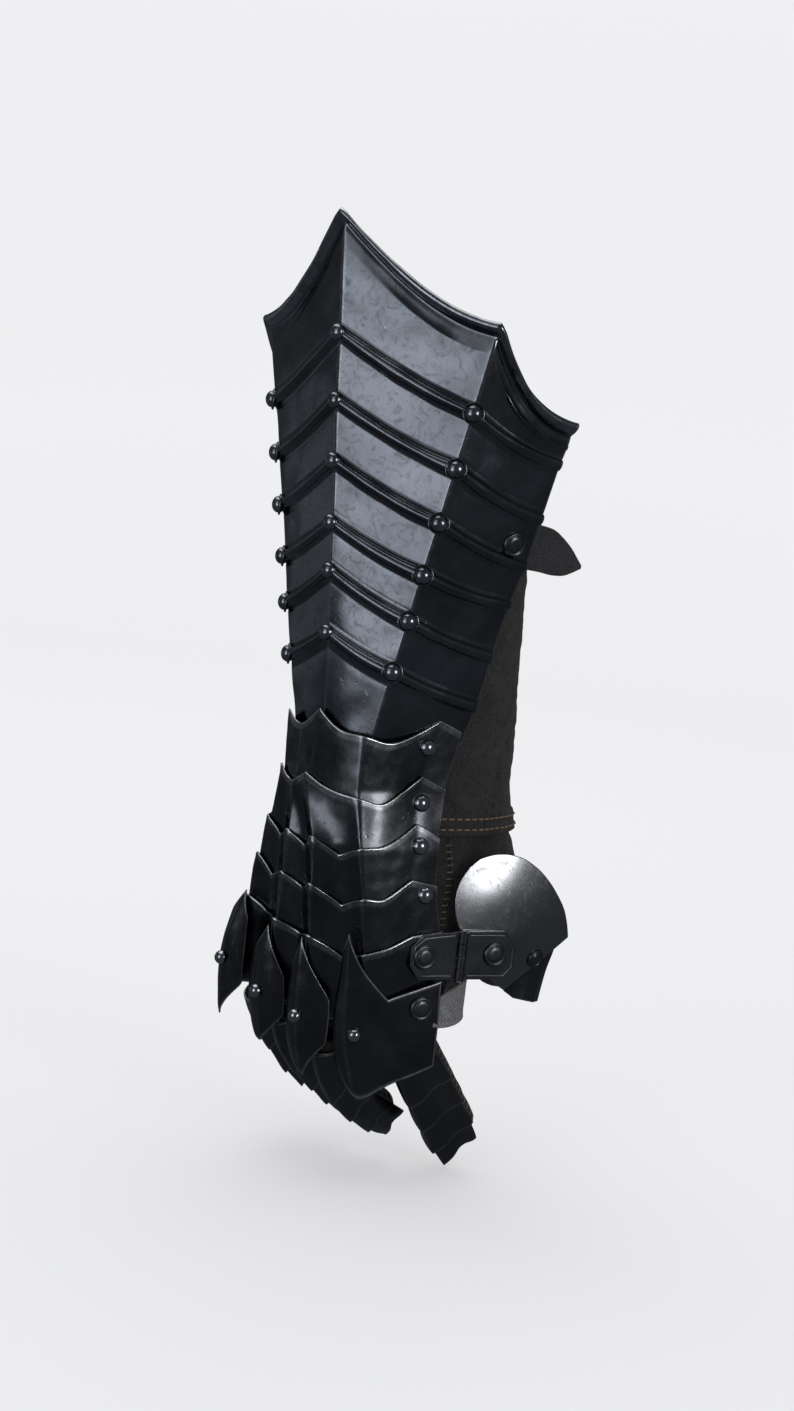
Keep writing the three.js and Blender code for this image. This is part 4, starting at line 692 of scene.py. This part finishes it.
# ---------------------------------------------------------------- thumb guard and hinge
PIN = np.array([59.2, -5.3, 0]); AZ = math.radians(66)
E1 = np.array([math.cos(AZ), math.sin(AZ), 0]); EN = np.array([math.sin(AZ), -math.cos(AZ), 0])
def hinge(t, z, d):
    p = PIN + np.multiply.outer(np.asarray(t, float), E1) + np.multiply.outer(np.asarray(d, float), EN)
    p[..., 2] = z
    return p
EDGE = [[29.4, -19.3, 21.4], [25.5, -20.8, 22.3], [20, -22.6, 23.4], [13, -24.3, 24.6], [5, -25.2, 25.0], [-4, -25.2, 24.8], [-14, -23.8, 22.9], [-22.8, -20, 18.6], [-28.5, -15, 13], [-32, -9, 7], [-33.6, -3.5, 2.5]]
ax = math.radians(38.4)
w = np.concatenate([[29.4, 29.1, 28.6], np.linspace(27.5, -28, 50), -33.6 + 5.6 * (1 - np.sin(np.linspace(0, math.pi / 2, 12)))[1:]])
e = table(EDGE, w); fr = np.unique(np.concatenate([(1 - np.cos(np.linspace(0, math.pi, 50))) / 2, [0.004, 0.996]]))
p = e[:, :1] + (e[:, 1:] - e[:, :1]) * fr; W_ = w[:, None] + 0 * p
bend = np.where(W_ > 4, (W_ - 4) ** 2 / 90, (W_ - 4) ** 2 / 300) + 1.2 * (p / 25) ** 2 - 0.6
g = hinge(26.8 + math.sin(ax) * W_ + math.cos(ax) * p, -91.3 - math.cos(ax) * W_ + math.sin(ax) * p, -2.5 - bend)
g = g + normals(g) * (0.1 * wobble(g, 24))[..., None]
V, F, M = shell(g, 1.2)
make("thumb_disc_plate", V, F, [BRIGHT, BARE_EDGE_AND_HIGHLIGHT], GUARD, ["thumb_disc"], M, np.zeros(len(V)))
T4 = np.array([[[34.0, -129.0, -17.0], [37.5, -131.4, -14.2], [43.0, -132.3, -13.2], [49.5, -133.8, -14.4], [54.3, -134.6, -18.5]],
 [[32.8, -127.6, -16.5], [37.0, -126.5, -13.6], [43.5, -124.5, -13.0], [50.5, -122.0, -13.8], [56.0, -119.5, -17.0]],
 [[31.5, -125.5, -15.5], [36.5, -121.5, -12.6], [44.0, -116.2, -12.2], [51.5, -110.0, -12.6], [58.2, -105.0, -14.5]],
 [[26.9, -117.0, -11.0], [32.9, -111.9, -8.6], [40.8, -105.7, -8.2], [48.6, -99.5, -8.8], [53.5, -95.8, -11.5]]])
u = np.unique(np.concatenate([np.linspace(0, 4, 61), [0.04, 3.96]])); v_ = np.unique(np.concatenate([np.linspace(0, 3, 31), [0.04]]))
g = np.einsum("ji,ikc,mk->jmc", spline(range(4), np.eye(4), v_), T4, weights(5, u, (1, 2, 3), 0.12))
q4 = hinge(g[..., 0], g[..., 1], g[..., 2])
V, F, M = shell(q4, 1.0)
make("thumb_lower_plate", V, F, [MATT, DULL_EDGE], GUARD, ["thumb_lame"], M)
for who, body in (("hand", ROOT), ("thumb", GUARD)):
    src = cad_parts[f"hinge_leaf_{who}"]
    me = src.data.copy(); me.materials.clear(); me.materials.append(MATT); me.materials.append(BARE_EDGE_AND_HIGHLIGHT)
    ob = bpy.data.objects.new(f"hinge_leaf_{who}_plate", me); bpy.context.scene.collection.objects.link(ob)
    me.polygons.foreach_set("material_index", np.zeros(len(me.polygons), np.int32))
    wd = ob.modifiers.new("weld", "WELD"); wd.merge_threshold = 0.00001
    # the bevelled edges take material 1, the lighter edge steel: painted edge highlight
    bv = ob.modifiers.new("bevel", "BEVEL"); bv.width = 0.00028; bv.segments = 2; bv.limit_method = "ANGLE"; bv.angle_limit = math.radians(50); bv.material = 1
    me.polygons.foreach_set("use_smooth", np.ones(len(me.polygons), bool)); me.set_sharp_from_angle(angle=math.radians(32))
    wn = ob.modifiers.new("weighted", "WEIGHTED_NORMAL"); wn.keep_sharp = True; wn.weight = 80
    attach(ob, body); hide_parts(f"hinge_leaf_{who}")
    o = [(-2.8, -117), (-19.6, -117), (-24.0, -112.0), (-24.0, -103.9), (-18.9, -99.6), (-2.8, -98)] if who == "hand" else [(3, -98), (21.8, -98), (26.9, -104.2), (26.9, -113), (23.2, -117), (3, -117)]
    pth = []
    for (t0, z0), (t1, z1) in zip(o[:-1], o[1:]):
        pth += [hinge(t0 + (t1 - t0) * k_, z0 + (z1 - z0) * k_, -0.6) for k_ in np.linspace(0, 1, 9)[:-1]]
    pth.append(hinge(o[-1][0], o[-1][1], -0.6))
    v, f = tube(pth, 0.34, 8)
    make(f"hinge_border_{who}", v, f, [DULL_EDGE], body)
v, f = lathe([(0, -119.9), (1.0, -119.9), (1.7, -119.6), (1.7, -119.0), (1.1, -118.9), (1.1, -96.1), (1.7, -96.0), (1.7, -95.4), (1.0, -95.1), (0, -95.0)], 28)
make("hinge_pin_bar", v * [1, 1, 1] + [59.2, -5.3, 0], f, [POLISH], ROOT, ["hinge_pin"])

# ---------------------------------------------------------------- straps
def band(name, path, t, mat, node_, stitch_=True):
    P = np.array(path, float); d = np.concatenate([[0], np.cumsum(np.linalg.norm(np.diff(P[:, :3], axis=0), axis=1))])
    q = np.unique(np.concatenate([np.linspace(0, d[-1], int(d[-1] / 1.6)), [0.4, d[-1] - 0.4]])); R = spline(d, P, q)
    s = np.array([-1, -0.94, -0.8, -0.6, -0.3, 0, 0.3, 0.6, 0.8, 0.94, 1])
    g = np.stack([np.repeat(R[:, None, 0], 11, 1), np.repeat(R[:, None, 1], 11, 1), R[:, None, 2] + s * R[:, 3:4]], -1).transpose(1, 0, 2)
    N = normals(g)
    g = g + N * (0.3 * (1 - np.abs(s) ** 6) - 0.1)[:, None, None] + N * (0.10 * wobble(g, 12))[..., None]
    V, F, M = shell(g, t, edge=0)
    make(name, V, F, [mat, mat], ROOT, [node_], np.zeros(len(M), int))
band("cuff_strap_tongue", [[54.9, -12, 82.5, 10], [57.2, -4, 82.5, 10], [60.0, 5, 82.3, 10], [64, 14, 81.6, 10], [66.6, 21, 80.2, 9.6], [69.2, 28.3, 77.6, 6.5], [71.4, 35.4, 75.2, 1.0]], 1.8, STRAP, "cuff_strap_right")
band("cuff_strap_buckle_end", [[-61.6, 9.5, 82, 10], [-60.0, 5, 82.3, 10], [-57.2, -4, 82.5, 10], [-54.9, -12, 82.5, 10]], 1.8, STRAP, "cuff_strap_left")
PALM = [[-50.2, -11, -125, 9.5], [-54.6, -2, -127, 9.5], [-54.5, 8, -128, 9.5], [-47, 19, -129.5, 9.5], [-30, 29, -130.5, 9.5], [-10, 34, -131, 9.5], [10, 34, -131, 9.5], [30, 27, -131, 9.5], [45, 16, -131, 9.5], [53.6, 4, -131.5, 9.5], [54.2, -4, -133.2, 8.7], [52.0, -12.5, -135.2, 6.4]]
band("palm_strap_band", PALM, 1.6, GREY, "palm_strap")

# ---------------------------------------------------------------- rivets and buckle
DOME = [(0, -0.3), (3.9, -0.3), (4.1, 0.0), (4.0, 0.3), (3.75, 1.0), (3.2, 1.8), (2.4, 2.45), (1.3, 2.85), (0.6, 2.97), (0, 3.0)]
FLATR = [(0, -0.2), (5.5, -0.2), (5.75, 0.2), (5.6, 0.9), (5.2, 1.35), (4.7, 1.5), (4.3, 1.3), (4.05, 0.95), (3.8, 1.25), (3.4, 1.55), (2.0, 1.62), (0, 1.62)]
for n_ in sorted(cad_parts):
    if not (n_.startswith("rivet_") or n_.startswith("flat_rivet_")):
        continue
    c_, d_ = cad_axis(n_); body = GUARD if n_ in ("flat_rivet_thumb_leaf", "flat_rivet_disc") else ROOT
    if n_.startswith("flat"):
        k_ = 0.82 if n_ == "flat_rivet_disc" else 1.0
        v, f = lathe([(r_ * k_, z_) for r_, z_ in FLATR], 48)
    else:
        v, f = lathe(DOME if "knuckle" not in n_ else [(r_ * 0.82, z_) for r_, z_ in DOME], 40)
    make(n_ + "_head", turned(v, c_, d_), f, [POLISH if not n_.startswith("flat") else MATT], body, [n_], None, np.full(len(v), 0.15))
d_ = unit(np.array([-0.28, 0.96, 0])); c_ = np.array([-60.8, 10.2, 82.0]); n_ = np.array([-0.96, -0.28, 0])
pts = [(1.3, -11.7), (15.7, -11.7), (15.7, 11.7), (1.3, 11.7)]
path = []
for k_ in range(4):
    a_, b_ = np.array(pts[k_]), np.array(pts[(k_ + 1) % 4])
    for s_ in np.linspace(0.06, 0.94, 8):
        q_ = a_ + (b_ - a_) * s_; path.append(c_ + d_ * q_[0] + np.array([0, 0, q_[1]]) + n_ * 1.2)
v, f = tube(path, 1.25, 12, closed=True)
make("cuff_buckle_frame", v, f, [POLISH], ROOT, ["cuff_buckle"])

# ---------------------------------------------------------------- floor, light, camera
fl = bpy.data.materials.new("pale_floor"); fl.use_nodes = True
fb = fl.node_tree.nodes["Principled BSDF"]; fb.inputs["Base Color"].default_value = (0.42, 0.42, 0.424, 1); fb.inputs["Roughness"].default_value = 0.9; fb.inputs["Specular IOR Level"].default_value = 0.0
fg = fl.node_tree.nodes.new("ShaderNodeNewGeometry"); fv = fl.node_tree.nodes.new("ShaderNodeVectorMath"); fv.operation = "LENGTH"
fm = fl.node_tree.nodes.new("ShaderNodeMapRange")
for i_, x_ in enumerate((0.2, 4.5, 0.46, 0.65)): fm.inputs[i_ + 1].default_value = x_
fl.node_tree.links.new(fg.outputs["Position"], fv.inputs[0]); fl.node_tree.links.new(fv.outputs["Value"], fm.inputs[0])
fb.inputs["Emission Color"].default_value = (0.992, 0.992, 1.0, 1); fl.node_tree.links.new(fm.outputs[0], fb.inputs["Emission Strength"])
zf = CAD_BOX[0].z - 0.0014
prof = [(-6.0, 0.0), (3.0, 0.0)] + [(3.0 + 2.5 * math.sin(a), 2.5 - 2.5 * math.cos(a)) for a in np.linspace(0.1, math.pi / 2, 16)] + [(5.5, 9.0)]
dirc = np.array([-math.sin(math.radians(40)), math.cos(math.radians(40))]); crs = np.array([dirc[1], -dirc[0]])
me = bpy.data.meshes.new("backdrop")
vs = [(*(dirc * d + crs * s), zf + h) for d, h in prof for s in (-9, 9)]
me.from_pydata(vs, [], [(2 * i, 2 * i + 1, 2 * i + 3, 2 * i + 2) for i in range(len(prof) - 1)]); me.materials.append(fl)
for p_ in me.polygons: p_.use_smooth = True
bd = bpy.data.objects.new("backdrop", me); bpy.context.scene.collection.objects.link(bd)
bd.visible_glossy = False

world = bpy.data.worlds.new("studio"); bpy.context.scene.world = world; world.use_nodes = True
wt = world.node_tree; wt.nodes.clear()
wo = wt.nodes.new("ShaderNodeOutputWorld"); lp = wt.nodes.new("ShaderNodeLightPath"); mx = wt.nodes.new("ShaderNodeMixShader")
b0 = wt.nodes.new("ShaderNodeBackground"); b0.inputs[0].default_value = (0.93, 0.95, 1.0, 1); b0.inputs[1].default_value = 0.40
b1 = wt.nodes.new("ShaderNodeBackground"); b1.inputs[0].default_value = (0.80, 0.88, 1.0, 1); b1.inputs[1].default_value = 0.075
wt.links.new(lp.outputs["Is Glossy Ray"], mx.inputs[0]); wt.links.new(b0.outputs[0], mx.inputs[1]); wt.links.new(b1.outputs[0], mx.inputs[2]); wt.links.new(mx.outputs[0], wo.inputs[0])

def area(name, direction, dist, size, power, target=(0, 0, 0), color=(1, 1, 1)):
    l = bpy.data.lights.new(name, "AREA"); l.shape = "RECTANGLE"; l.size, l.size_y = size; l.energy = power; l.color = color
    o = bpy.data.objects.new(name, l); bpy.context.scene.collection.objects.link(o)
    d = Vector(direction).normalized(); o.location = Vector(target) + d * dist
    o.rotation_mode = "QUATERNION"; o.rotation_quaternion = d.to_track_quat("Z", "Y")
area("front_card", (0.02, -1.0, -0.02), 1.0, (0.5, 0.36), 1.1, (0, 0, 0), (0.9, 0.94, 1.0))
area("front_box", (0.02, -1.0, 0.30), 1.5, (0.75, 0.8), 1.3, (0, 0, 0.08), (0.92, 0.95, 1.0))
area("right_box", (0.97, -0.13, 0.24), 1.5, (0.36, 0.5), 4.4, (0.05, 0, -0.09), (0.97, 0.98, 1.0))
area("top_box", (-0.25, 0.1, 1.0), 2.2, (2.4, 2.4), 30, (0, 0, 0))
area("left_card", (-0.95, -0.3, 0.03), 1.1, (0.5, 0.3), 0.07, (0, 0, -0.07), (0.9, 0.95, 1.0))

cam = bpy.data.cameras.new("camera"); co = bpy.data.objects.new("camera", cam); bpy.context.scene.collection.objects.link(co)
ca, sa, ce, se, ro = math.cos(math.radians(40)), math.sin(math.radians(40)), math.cos(math.radians(6)), math.sin(math.radians(6)), math.radians(6.2105)
back = Vector((sa * ce, -ca * ce, se)); rt = Vector((ca, sa, 0)); up = back.cross(rt)
X = rt * math.cos(ro) + up * math.sin(ro); Y = up * math.cos(ro) - rt * math.sin(ro)
co.matrix_world = Matrix(((X.x, Y.x, back.x, back.x * 0.95), (X.y, Y.y, back.y, back.y * 0.95), (X.z, Y.z, back.z, back.z * 0.95), (0, 0, 0, 1)))
cam.lens = 51.03; cam.sensor_width = 36; cam.clip_start = 0.01; cam.clip_end = 60
bpy.context.scene.camera = co
bpy.context.scene.view_settings.view_transform = "Standard"
